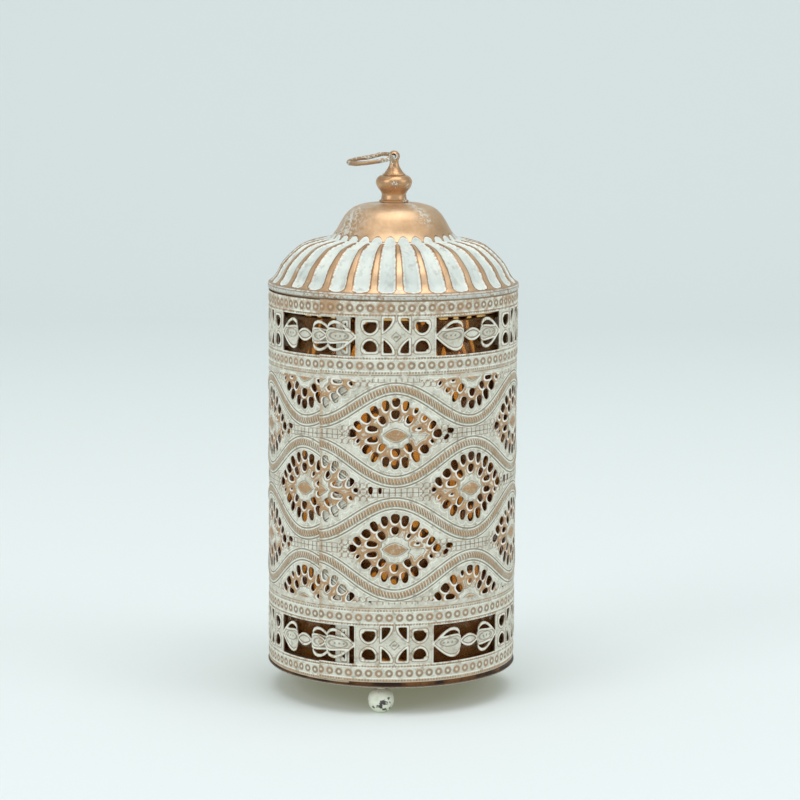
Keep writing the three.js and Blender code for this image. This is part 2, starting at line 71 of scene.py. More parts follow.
# ---- Ornament of the sleeve ----
PITCH_U = 35.1  # arc between columns where the pattern is at its own size
KNOTS_AZ = [-110.0, 1.6, 38.2, 73.4, 285.5, 316.8, 353.0]
KNOTS_K = [-3.05, 0.0, 1.0, 2.0, 8.0, 9.0, 10.05]  # the column at each azimuth of KNOTS_AZ
PATTERN_MIDDLE = 82.81  # over the sheet's lower edge
EYE_STEP = 24.65  # from one row of medallions to the next
WAVE = 7.65  # amplitude of the rope borders
ROPE_STRAND = 1.38
RING_ROWS = (54.4, 78.84)
RINGS_PER_COLUMN = 8
BEADS_PER_COLUMN = 27  # painted
BUMPS_PER_COLUMN = 34  # stamped
CELLS_PER_COLUMN = 14
FRIEZE_C = 66.6
FRIEZE_BORDERS = (58.0, 75.2)
WINDOW_TOP = 8.4
WINDOW_HALF = 17.9
FIELD_EDGE = 48.7  # where the medallions' field ends
BASE_R = 54.84  # outer face of the sheet, apart from its relief
SHEET = 0.6
GRID = 0.5
EYE_REACH = (31, 17)  # half-width and half-height that one medallion's ornament takes
FRIEZE_REACH = (18.6, 10.5)  # the same for one motif of a frieze
TIGHT = 0.01  # how far the relief stays inside the CAD box


# ===== Small mesh and number helpers =====

def smoothstep(lo, hi, x):
    """0 at lo and 1 at hi, which may be the lower one."""
    t = np.clip((x - lo) / (hi - lo), 0.0, 1.0)
    return t * t * (3 - 2 * t)


def smax(a, b, soft):
    """Larger of two fields, with the corner rounded over soft."""
    return 0.5 * (a + b + np.sqrt((a - b) ** 2 + soft * soft))


def spline(points, steps):
    """Catmull-Rom curve through 2-D points."""
    p = np.array(points, float)
    p = np.vstack([2 * p[0] - p[1], p, 2 * p[-1] - p[-2]])
    out = []
    for i in range(1, len(p) - 2):
        for t in np.linspace(0, 1, steps, endpoint=False):
            a = 2 * p[i]
            b = p[i + 1] - p[i - 1]
            c = 2 * p[i - 1] - 5 * p[i] + 4 * p[i + 1] - p[i + 2]
            d = -p[i - 1] + 3 * p[i] - 3 * p[i + 1] + p[i + 2]
            out.append(0.5 * (a + b * t + c * t * t + d * t ** 3))
    out.append(p[-2])
    return np.array(out)


def add_object(name, data):
    made = bpy.data.objects.new(name, data)
    bpy.context.scene.collection.objects.link(made)
    return made


def build(name, points, polygons, body, slot, replaces, attributes=None, sharp=35.0, material=None):
    """One mesh piece from points and groups of polygons that have equal corner counts. Edges bent by more
    than sharp stay hard; None leaves all smooth. The material is the slot's unless another is named."""
    mesh = bpy.data.meshes.new(name)
    groups = [np.asarray(g, np.int32) for g in polygons if len(g)]
    corners = np.concatenate([g.ravel() for g in groups])
    totals = np.concatenate([np.full(len(g), g.shape[1], np.int32) for g in groups])
    starts = (np.cumsum(totals) - totals).astype(np.int32)
    mesh.vertices.add(len(points))
    mesh.vertices.foreach_set("co", (np.asarray(points, np.float64) * MM).astype(np.float32).ravel())
    mesh.loops.add(len(corners))
    mesh.loops.foreach_set("vertex_index", corners)
    mesh.polygons.add(len(totals))
    mesh.polygons.foreach_set("loop_start", starts)
    mesh.update(calc_edges=True)
    mesh.validate()
    mesh.polygons.foreach_set("use_smooth", np.ones(len(mesh.polygons), bool))
    if sharp:
        mesh.set_sharp_from_angle(angle=math.radians(sharp))
    for key, values in (attributes or {}).items():
        layer = mesh.attributes.new(key, "FLOAT", "POINT")
        layer.data.foreach_set("value", np.asarray(values, np.float32))
    piece = add_object(name, mesh)
    mesh.materials.append(MATERIALS[material or slot])
    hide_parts(*replaces)
    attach(piece, body)
    return piece


def on_circle(radius, azimuth, height):
    """Points round the lantern's axis; the azimuth is in radians."""
    return np.stack([radius * np.sin(azimuth), -radius * np.cos(azimuth), height + 0 * radius * azimuth], -1)


def tube_quads(rows, cols, closed=False):
    """Quads between rings of cols points; closed also joins the last ring to the first."""
    i, j = np.meshgrid(np.arange(rows if closed else rows - 1), np.arange(cols), indexing="ij")
    a, b = i * cols + j, i * cols + (j + 1) % cols
    step = ((i + 1) % rows - i) * cols
    return np.stack([a, b, b + step, a + step], -1).reshape(-1, 4)


def lathe(profile, segments, closed=False):
    """Points and faces of a profile of [radius, height] turned about Z; it runs anticlockwise."""
    profile = np.asarray(profile, float)
    azimuth = np.arange(segments) * 2 * math.pi / segments
    points = on_circle(profile[:, :1], azimuth, profile[:, 1:]).reshape(-1, 3)
    return points, tube_quads(len(profile), segments, closed)


def turned(name, profile, segments, body, slot, replaces, closed=False, at=(0, 0, 0), sharp=35.0):
    """One mesh piece from a turned profile, moved by at."""
    points, quads = lathe(profile, segments, closed)
    build(name, points + np.array(at), [quads], body, slot, replaces, sharp=sharp)


# ===== Shader arithmetic =====

class Tree:
    """Builds one material; sockets wrapped in Value combine with ordinary operators."""

    def __init__(self, name):
        self.material = bpy.data.materials.new(name)
        self.material.use_nodes = True
        self.tree = self.material.node_tree
        self.shader = self.tree.nodes["Principled BSDF"]
        self.output = self.tree.nodes["Material Output"]

    def put(self, node, inputs):
        """Links or sets a node's inputs; colours are tuples without their alpha."""
        for key, value in inputs.items():
            if isinstance(value, Value):
                self.tree.links.new(value.socket, node.inputs[key])
            else:
                node.inputs[key].default_value = (*value, 1.0) if isinstance(value, tuple) else value

    def node(self, kind, inputs, output=0, **settings):
        """One output of a new node."""
        made = self.tree.nodes.new("ShaderNode" + kind)
        for key, value in settings.items():
            setattr(made, key, value)
        self.put(made, inputs)
        return Value(self, made.outputs[output])

    def attribute(self, name):
        """A field stored on the mesh's points."""
        return self.node("Attribute", {}, "Fac", attribute_name=name)

    def position(self):
        """Object coordinates x, y and z, in metres."""
        parts = self.node("SeparateXYZ", {0: self.node("TexCoord", {}, "Object")})
        return [Value(self, output) for output in parts.socket.node.outputs]

    def noise(self, size, detail=3.0, rough=0.55, stretch=None):
        """Noise from 0 to 1 with blotches of about size millimetres; stretch scales x, y and z."""
        where = self.node("TexCoord", {}, "Object")
        if stretch:
            scaled = {i: along * stretch[i] for i, along in enumerate(self.position())}
            where = self.node("CombineXYZ", scaled)
        inputs = {"Vector": where, "Scale": 1.0 / (size * MM), "Detail": detail, "Roughness": rough}
        return self.node("TexNoise", inputs, "Fac")

    def mix(self, factor, low, high):
        """Colour low where factor is 0 and high where it is 1."""
        return self.node("Mix", {0: factor, 6: low, 7: high}, 2, data_type="RGBA")

    def bump(self, height, distance, strength):
        inputs = {"Distance": distance * MM, "Strength": strength, "Height": height}
        self.put(self.shader, {"Normal": self.node("Bump", inputs)})

    def surface(self, color, roughness, metallic):
        self.put(self.shader, {"Base Color": color, "Roughness": roughness, "Metallic": metallic})


class Value:
    """One output socket of a Tree."""

    def __init__(self, owner, socket):
        self.owner, self.socket = owner, socket

    def math(self, operation, *others):
        return self.owner.node("Math", dict(enumerate((self, *others))), operation=operation)

    def __add__(self, other):
        return self.math("ADD", other)

    def __sub__(self, other):
        return self.math("SUBTRACT", other)

    def __mul__(self, other):
        return self.math("MULTIPLY", other)

    def __truediv__(self, other):
        return self.math("DIVIDE", other)

    def low(self, other):
        return self.math("MINIMUM", other)

    def high(self, other):
        return self.math("MAXIMUM", other)

    def size(self):
        return self.math("ABSOLUTE")

    def inverted(self):
        """1 where self is 0, and 0 where it is 1."""
        return self * -1.0 + 1.0

    def ramp(self, lo, hi):
        """0 below lo and 1 above hi, or the other way round if hi is lower."""
        inputs = {"Value": self, "From Min": lo, "From Max": hi}
        return self.owner.node("MapRange", inputs, "Result", interpolation_type="SMOOTHSTEP")

    def around(self, middle, half, soft):
        """1 within half of middle, falling to 0 over soft."""
        return (self - middle).size().ramp(half + soft, max(half - soft, 0.0))


# Linear colours that the sleeve and the lid use
WHITE = (0.67, 0.67, 0.575)
WHITE_DIM = (0.52, 0.53, 0.45)
WHITE_WARM = (0.52, 0.40, 0.28)
WHITE_HIGHLIGHT = (0.84, 0.85, 0.75)
WHITE_HOLE_HIGHLIGHT = (0.84, 0.82, 0.74)
RING_CENTRE_HIGHLIGHT = (0.80, 0.76, 0.68)
GRIME = (0.26, 0.25, 0.19)
COPPER = (0.38, 0.215, 0.105)
COPPER_PALE = (0.50, 0.32, 0.165)
COPPER_DEEP = (0.20, 0.10, 0.05)
COPPER_RUBBED = (0.40, 0.26, 0.15)
OLIVE = (0.24, 0.15, 0.072)
BROWN = (0.27, 0.155, 0.08)
LINE = (0.135, 0.14, 0.095)
INNER = (0.20, 0.095, 0.042)
INNER_DARK = (0.10, 0.042, 0.018)
LID_WHITE, LID_WHITE_DIM = (0.66, 0.69, 0.63), (0.52, 0.56, 0.53)
LID_STREAK, LID_FLUTE_HIGHLIGHT = (0.33, 0.34, 0.30), (0.82, 0.82, 0.74)
LID_COPPER, LID_COPPER_PALE, LID_LIP = (0.50, 0.31, 0.17), (0.66, 0.45, 0.28), (0.20, 0.13, 0.075)


# Fields of the sleeve that its material reads
SHADED = ("rope_across", "rope_along", "hole", "line", "eye", "almond", "neck", "bare", "ground", "scale",
          "crescent")


def sleeve_material():
    """Whitewash worn through to copper on the ornament that sleeve_fields() lays out, with painted highlights
    on raised lines, ring centres and one side of each hole, and painted shade between the rope's strands.
    """
    t = Tree("whitewashed_sheet")
    k, c, across, along, hole, line, eye, almond, neck, bare, ground_share, scale, shifted, inner = map(
        t.attribute, ("column", "rise", *SHADED, "inner"))
    fine = t.noise(0.7, 4.0)
    patch = t.noise(8.0, 3.0)
    grain = t.noise(2.2, 4.0, 0.6)
    wobble = (fine - 0.5) * 0.5
    broken = grain.ramp(0.4, 0.6)

    # rope borders
    beside = across.size()
    rope = beside + wobble * 0.3
    rope_body = rope.ramp(1.32, 1.02)
    twist = along * (2 * math.pi / ROPE_STRAND) + across * 1.5
    strand = twist.math("SINE")
    strand_copper = (strand + (grain - 0.5) * 1.2 + (patch - 0.5) * 3.4).ramp(-0.4, 0.15)
    # painted shade: darker brown on one side of each of the rope's strands
    strand_shade = rope_body * (twist + 1.1).math("SINE").ramp(-0.72, -0.95)
    margin_line = (beside + wobble * 0.25).around(2.42, 0.30, 0.2) * grain.ramp(0.22, 0.4)

    # rows of rings and beads, and the friezes' borders
    height = c.size()
    row = (height - RING_ROWS[0]).size().low((height - RING_ROWS[1]).size())
    ring_x = ((k * RINGS_PER_COLUMN).math("FRACT") - 0.5) * (PITCH_U / RINGS_PER_COLUMN)
    ring_r = (ring_x * ring_x + row * row).math("SQRT")
    ring = (ring_r + wobble * 0.4).around(1.16, 0.50, 0.18)
    # painted highlight in the middle of each ring
    ring_centre_highlight = ring_r.ramp(0.75, 0.4)
    bead_x = ((k * BEADS_PER_COLUMN).math("FRACT") - 0.5).size()
    bead = row.around(3.1, 0.42, 0.16) * bead_x.ramp(0.44, 0.22) * grain.ramp(0.3, 0.5)
    dash_line = height.around(50.3, 0.3, 0.14) * grain.ramp(0.34, 0.46)
    frieze_line = height.around(57.6, 0.16, 0.1) * broken
    edge_line = height.around(75.7, 0.14, 0.1) * broken + height.ramp(81.2, 81.7)

    # rims of the holes, with a painted highlight on one side of each
    near = hole + wobble * 0.4
    frieze = eye.inverted()
    # painted highlight: a crescent on one side of each hole
    crescent = (shifted + wobble * 0.3).ramp(0.42, 0.16) * ground_share
    ground = near.ramp(1.6, 1.1) * ground_share * (grain + (patch - 0.5) * 0.6).ramp(0.28, 0.4)
    ground = ground * crescent.inverted()
    groove = (near.around(0.98, 0.16, 0.18) * frieze).high(near.around(1.75, 0.1, 0.14) * ground_share * 0.8)
    crest = near.ramp(0.5, 0.12) * frieze * grain.ramp(0.5, 0.62)
    engraved = (line + wobble * 0.12).ramp(0.36, 0.10)

    # cells and scales between the medallions
    cell_x = ((k * CELLS_PER_COLUMN).math("FRACT") - 0.5).size() * (PITCH_U / CELLS_PER_COLUMN)
    cell_y = ((c / EYE_STEP + 0.5).math("FRACT") - 0.5).size() * EYE_STEP
    cell = (cell_x.ramp(0.92, 1.12) * cell_y.ramp(2.1, 1.8)).high(cell_y.around(2.0, 0.14, 0.12))
    cell = (neck * cell).high((scale + wobble * 0.2).ramp(0.30, 0.12))

    # what shows copper, what is dark and what is a thin line
    worn = (t.noise(3.0, 5.0, 0.68) + (patch - 0.5) * 0.5).ramp(0.67, 0.75)
    copper = (rope_body * strand_copper).high(ground)
    copper = copper.high(almond.ramp(0.1, -0.25) * (grain + 0.3).ramp(0.5, 0.8))
    copper = copper.high(bare * (fine * 0.6 + patch * 0.7).ramp(0.46, 0.66) * 0.9).high(worn * 0.65)
    copper = copper.high(crest * 0.55).high(edge_line * 0.5)
    olive = ring.high(bead * 0.9).high(dash_line * 0.9)
    thin = margin_line.high(engraved * 0.85).high(frieze_line * 0.6)
    thin = thin.high(rope.around(1.38, 0.12, 0.14) * 0.45)
    thin = thin.high(beside.around(3.5, 0.1, 0.14) * broken * 0.5)

    paint = t.mix(patch.ramp(0.35, 0.7), WHITE, WHITE_DIM)
    paint = t.mix((fine * 0.8 + patch * 0.3).ramp(0.50, 0.74) * 0.7, paint, WHITE_WARM)
    paint = t.mix(grain.ramp(0.54, 0.70) * 0.6, paint, GRIME)
    metal = t.mix((fine + patch * 0.6).ramp(0.55, 1.05), COPPER, COPPER_PALE)
    metal = t.mix(t.noise(1.8, 4.0).ramp(0.60, 0.76) * 0.5, metal, COPPER_DEEP)
    # painted highlights: paler white beside the ropes, along the hole edges, by the ring rows and on the
    # friezes' borders
    highlight_band = beside.around(1.85, 0.2, 0.2).high(beside.around(2.95, 0.15, 0.2))
    highlight_band = highlight_band.high(near.around(0.5, 0.2, 0.2) * frieze).high(near.around(1.3, 0.12, 0.15) * eye)
    highlight_band = highlight_band.high(row.around(2.35, 0.2, 0.2))
    for border in FRIEZE_BORDERS:
        highlight_band = highlight_band.high(height.around(border, 0.15, 0.2))
    paint = t.mix(highlight_band * grain.ramp(0.66, 0.5) * 0.75, paint, WHITE_HIGHLIGHT)
    color = t.mix(copper, paint, metal)
    rubbed = c.ramp(75.2, 76.2) * (grain + patch * 0.5).ramp(0.62, 0.86)  # the lid rubs on the top row
    color = t.mix(rubbed * 0.7, color, COPPER_RUBBED)
    color = t.mix(thin * 0.8, color, t.mix(grain, LINE, OLIVE))
    # the ornament's brown lines and cells, with painted shade between the rope's strands
    brown_lines_and_shade = (groove * grain.ramp(0.22, 0.4)).high(cell * 0.9).high(strand_shade) * 0.85
    color = t.mix(brown_lines_and_shade, color, BROWN)
    color = t.mix(olive * 0.85, color, t.mix(patch.ramp(0.4, 0.65), OLIVE, COPPER))
    # painted highlight: paler centre of each ring
    color = t.mix(ring_centre_highlight * 0.45, color, RING_CENTRE_HIGHLIGHT)
    # painted highlight on one side of each hole
    rim = crescent * grain.ramp(0.28, 0.4)
    color = t.mix(rim * 0.85, color, WHITE_HOLE_HIGHLIGHT)
    # a thin dark line round each hole's edge, left off where the painted highlight lies
    hole_outline = near.around(0.15, 0.12, 0.15) * ground_share * crescent.inverted()
    color = t.mix(hole_outline * 0.75, color, COPPER_DEEP)
    color = t.mix(inner, color, t.mix(patch.ramp(0.3, 0.7), INNER, INNER_DARK))
    t.surface(color, (copper * -0.14 + 0.6) + (fine - 0.5) * 0.2, copper * 0.35 + inner * 0.3)
    relief = rope_body * (strand * 0.4 + 0.75) + ring * 0.6 + bead * 0.3 - thin * 0.55 - brown_lines_and_shade * 0.4
    relief = relief + fine * 0.2 + grain * 0.15 + rim * 0.3
    t.bump(relief, 0.38, 0.9)
    return t.material


def lid_material():
    """Copper ribs and dome with whitewash in the flutes, painted highlights along the flutes' edges and
    painted shade along the ribs' edges; up is the arc along the profile from the lip.
    """
    t = Tree("lid_metal")
    up = t.attribute("up")
    crown = up.ramp(34.2, 36.6) * up.ramp(40.8, 38.6)  # the paint closes over the ribs' upper ends
    flute = t.attribute("flute") + crown * 0.95
    fine = t.noise(1.2, 5.0, 0.65)
    patch = t.noise(14.0, 3.0)
    scratch = t.noise(2.4, 5.0, 0.7)
    white = (flute + (fine - 0.5) * 3.0 + (patch - 0.5) * 0.8).ramp(-0.15, 0.45)
    lip_line = (up + fine * 0.5).around(2.0, 0.15, 0.2)
    lip = up.ramp(2.9, 2.3) * (fine + patch * 0.6).ramp(0.62, 0.84) * lip_line.ramp(0.9, 0.2)
    crest_wear = (scratch + (patch - 0.5) * 0.9).ramp(0.66, 0.74) * 0.55
    scar = t.attribute("scar") * (scratch + fine * 0.6).ramp(0.74, 0.90) * 0.8
    painted = white.high(lip * 0.9).high(crest_wear * up.ramp(60.0, 30.0)).high(scar)
    paint = t.mix(patch.ramp(0.3, 0.7), LID_WHITE, LID_WHITE_DIM)
    streak = t.noise(3.0, 4.0, 0.6, stretch=(1.0, 1.0, 0.25))
    paint = t.mix(streak.ramp(0.50, 0.72) * 0.65, paint, LID_STREAK)
    # painted highlight along the flutes' edges
    paint = t.mix(flute.around(0.5, 0.3, 0.25) * fine.ramp(0.35, 0.6) * 0.6, paint, LID_FLUTE_HIGHLIGHT)
    metal = t.mix((patch + fine * 0.4).ramp(0.5, 0.95), LID_COPPER, LID_COPPER_PALE)
    metal = t.mix(up.ramp(4.2, 2.6) * 0.5, metal, LID_LIP)
    metal = t.mix(scratch.ramp(0.6, 0.8) * 0.5, metal, COPPER_DEEP)
    # painted shade: a dark line along each rib's edges
    edge = (flute + (fine - 0.5) * 0.9).around(-0.2, 0.25, 0.25) * up.ramp(2.6, 4.0)
    color = t.mix(painted, metal, paint)
    color = t.mix(edge * 0.85, color, COPPER_DEEP)
    t.surface(color, painted * 0.22 + 0.40 + (fine - 0.5) * 0.2, painted * -0.8 + 0.8)
    t.bump(fine * 0.35 + painted * 0.3 + scratch * 0.2, 0.12, 0.6)
    return t.material


def copper_material(name, light, deep, white_share, roughness=0.34, metallic=0.88):
    """Antique copper with rubbed whitewash left in places."""
    t = Tree(name)
    fine = t.noise(0.9, 5.0, 0.65)
    patch = t.noise(6.0, 3.0)
    metal = t.mix((patch + fine * 0.5).ramp(0.45, 0.95), light, deep)
    white = (fine * 0.7 + patch * 0.7).ramp(1.05 - white_share, 1.13 - white_share)
    color = t.mix(white * 0.9, metal, WHITE)
    t.surface(color, white * 0.25 + roughness + (fine - 0.5) * 0.15, white * -0.7 + metallic)
    t.bump(fine + white * 0.5, 0.06, 0.6)
    return t.material


def dark_copper_material():
    """Aged copper of base and hoop, with the dish's white edge, painted light on the hoop's upper edge, and
    the strip under the sleeve in dark copper with painted shade.
    """
    t = Tree("dark_copper")
    fine = t.noise(1.0, 5.0, 0.6)
    patch = t.noise(10.0, 3.0)
    x, y, z = t.position()
    height = z * 1000.0
    metal = t.mix((patch + fine * 0.5).ramp(0.45, 0.95), (0.06, 0.034, 0.018), (0.12, 0.075, 0.043))
    inside = (x * x + y * y).math("SQRT").ramp(0.0527, 0.0523)
    metal = t.mix(inside, metal, t.mix(fine, (0.34, 0.18, 0.085), (0.24, 0.12, 0.055)))
    metal = t.mix(z.ramp(0.1788, 0.1793) * 0.8, metal, (0.46, 0.33, 0.21))  # the hoop's upper edge, painted light in the shaded joint under the lid
    rim = (height + (fine - 0.5) * 0.6).around(12.7, 0.2, 0.15) * patch.ramp(0.1, 0.3)
    metal = t.mix(rim * 0.7, metal, (0.55, 0.50, 0.42))
    # the strip under the sleeve: dark copper with painted shade, near black in patches
    strip = height.ramp(13.2, 13.7) * height.ramp(16.0, 15.0)
    under = t.mix(patch.ramp(0.45, 0.62), (0.025, 0.011, 0.006), (0.20, 0.078, 0.02))
    metal = t.mix(strip * 0.9, metal, under)
    t.surface(metal, fine * 0.3 + 0.32, rim * -0.5 + 0.7)
    t.bump(fine, 0.06, 0.5)
    return t.material


def foot_material():
    """Chipped whitewash; the chips gather at the lower left of the front foot."""
    t = Tree("foot_whitewash")
    fine = t.noise(0.5, 5.0, 0.7)
    chip_noise = t.noise(2.8, 3.0, 0.6)
    x, y, z = t.position()
    x, z = x + 0.0022, z - 0.0042
    close = (x * x + z * z).math("SQRT").ramp(0.0044, 0.0018)
    chips = (chip_noise + (fine - 0.5) * 0.25 + close * 0.085).ramp(0.61, 0.64)
    soot = t.noise(3.0, 4.0).ramp(0.5, 0.8)
    paint = t.mix(soot * 0.5, (0.76, 0.78, 0.64), (0.44, 0.44, 0.34))
    color = t.mix(chips, paint, (0.09, 0.085, 0.08))
    t.surface(color, chips * 0.1 + 0.42 + (fine - 0.5) * 0.2, chips * 0.5)
    t.bump(chips * -1.0 + fine * 0.25, 0.15, 0.8)
    return t.material


def steel_material():
    t = Tree("hardware")
    fine = t.noise(0.7, 4.0, 0.6, stretch=(1.0, 1.0, 4.0))
    color = t.mix(fine.ramp(0.3, 0.75), (0.56, 0.54, 0.51), (0.38, 0.36, 0.33))
    t.surface(color, fine * 0.25 + 0.25, 0.95)
    t.bump(fine, 0.03, 0.4)
    return t.material


def glass_material():
    """Amber glass with a tinted shadow."""
    t = Tree("amber_glass")
    waves = t.noise(18.0, 2.0, 0.5)
    specks = t.noise(0.6, 2.0).ramp(0.72, 0.8)
    tint = t.mix(waves.ramp(0.3, 0.7), (0.87, 0.52, 0.20), (0.79, 0.42, 0.135))
    tint = t.mix(specks * 0.15, tint, (0.45, 0.24, 0.08))
    t.surface(tint, specks * 0.2 + 0.03, 0.0)
    t.put(t.shader, {"Transmission Weight": 0.93, "IOR": 1.4, "Specular Tint": (1.0, 0.55, 0.32)})
    t.bump(waves, 0.35, 0.5)
    clear = t.node("BsdfTransparent", {0: (0.86, 0.62, 0.34)})
    shadow = t.node("LightPath", {}, "Is Shadow Ray")
    both = t.node("MixShader", {0: shadow, 1: Value(t, t.shader.outputs[0]), 2: clear})
    t.put(t.output, {"Surface": both})
    return t.material


MATERIALS = {
    "whitewashed_sheet": sleeve_material(),
    "lid_metal": lid_material(),
    "copper_finish": copper_material("copper_finish", (0.62, 0.38, 0.20), (0.44, 0.25, 0.13), 0.24),
    "ring_finish": copper_material("ring_finish", (0.46, 0.30, 0.17), (0.27, 0.16, 0.09), 0.33, 0.45, 0.7),
    "dark_copper": dark_copper_material(),
    "foot_whitewash": foot_material(),
    "hardware": steel_material(),
    "amber_glass": glass_material(),
}


# ===== Pierced sleeve =====

rng = np.random.default_rng(7)

# How far the holes of each row of medallions sit over the medallion's middle
HOLE_LIFT = {-2: 0.3, -1: 0.1, 0: 0.7, 1: 0.6, 2: 0.5}
# Punched holes of one medallion in its first quarter: x, y, half-length outwards, half-width, turn
INNER_X, CORNER_X = 9.9, 15.9
EYE_HOLES = [
    (0.0, 13.35, 2.1, 1.85, 90),
    (4.35, 12.1, 2.4, 1.55, 84),
    (8.8, 9.8, 2.5, 1.65, 68),
    (12.4, 6.6, 2.15, 1.95, 48),
    (CORNER_X, 3.3, 2.1, 1.4, 55),
    (18.2, 0.0, 1.95, 1.75, 0),
    (0.0, 8.2, 1.9, 1.75, 90),
    (5.7, 5.9, 1.95, 1.45, 60),
    (INNER_X, 2.35, 2.35, 1.3, 6),
]
# Holes to the right of a medallion, in even and in odd columns
BESIDE_EVEN = [(22.4, -2.0, 1.5, 1.0, 40), (24.3, 0.7, 1.2, 1.7, 80)]
BESIDE_ODD = [(24.6, 0.2, 1.75, 1.0, 90), (28.6, 0.1, 1.5, 0.75, 90)]


def punched(x, y, hx, hy, long, wide, turn):
    """Signed distance, below 0 inside, to a rounded punched hole."""
    s, co = math.sin(math.radians(turn)), math.cos(math.radians(turn))
    a = (x - hx) * co + (y - hy) * s
    b = -(x - hx) * s + (y - hy) * co
    taper = 1 + 0.16 * np.clip(a / long, -1, 1)
    power = 2.5
    rho = (np.abs(a / long) ** power + np.abs(b / (wide * taper)) ** power) ** (1 / power)
    return (rho - 1) * min(long, wide)


def eye_holes(k0):
    """All holes of one medallion, each a little different, a few hardly punched through."""
    even = k0 % 2 == 0
    for hx, hy, long, wide, turn in EYE_HOLES:
        for sx in ((1, -1) if hx else (1,)):
            for sy in ((1, -1) if hy else (1,)):
                scale = rng.uniform(0.92, 1.04)
                dx, dy = rng.uniform(-0.2, 0.2, 2)
                small = rng.random()
                if hx == INNER_X and ((even and sx > 0) or (not even and sx < 0 and sy < 0)):
                    scale = 0.4 if sy > 0 or not even else 0.0
                elif hx == CORNER_X and sy < 0:
                    scale = 0.5
                elif small < 0.05:
                    scale = 0.55
                if not scale:
                    continue
                angle = turn if sx * sy > 0 else 180 - turn
                yield sx * hx + dx, sy * hy + dy, long * scale, wide * scale, angle
    yield from BESIDE_EVEN if even else BESIDE_ODD


def bud_half_height(reach):
    """Half-height of a frieze's scroll, by distance from the lens."""
    return np.interp(reach, [3.6, 4.7, 5.2, 6.2, 8.0, 10.0, 12.0, 14.0, 16.0, 17.6, 18.6],
                     [-3.0, 1.5, 4.3, 5.9, 6.6, 6.4, 5.5, 4.1, 2.4, 1.0, 0.8])


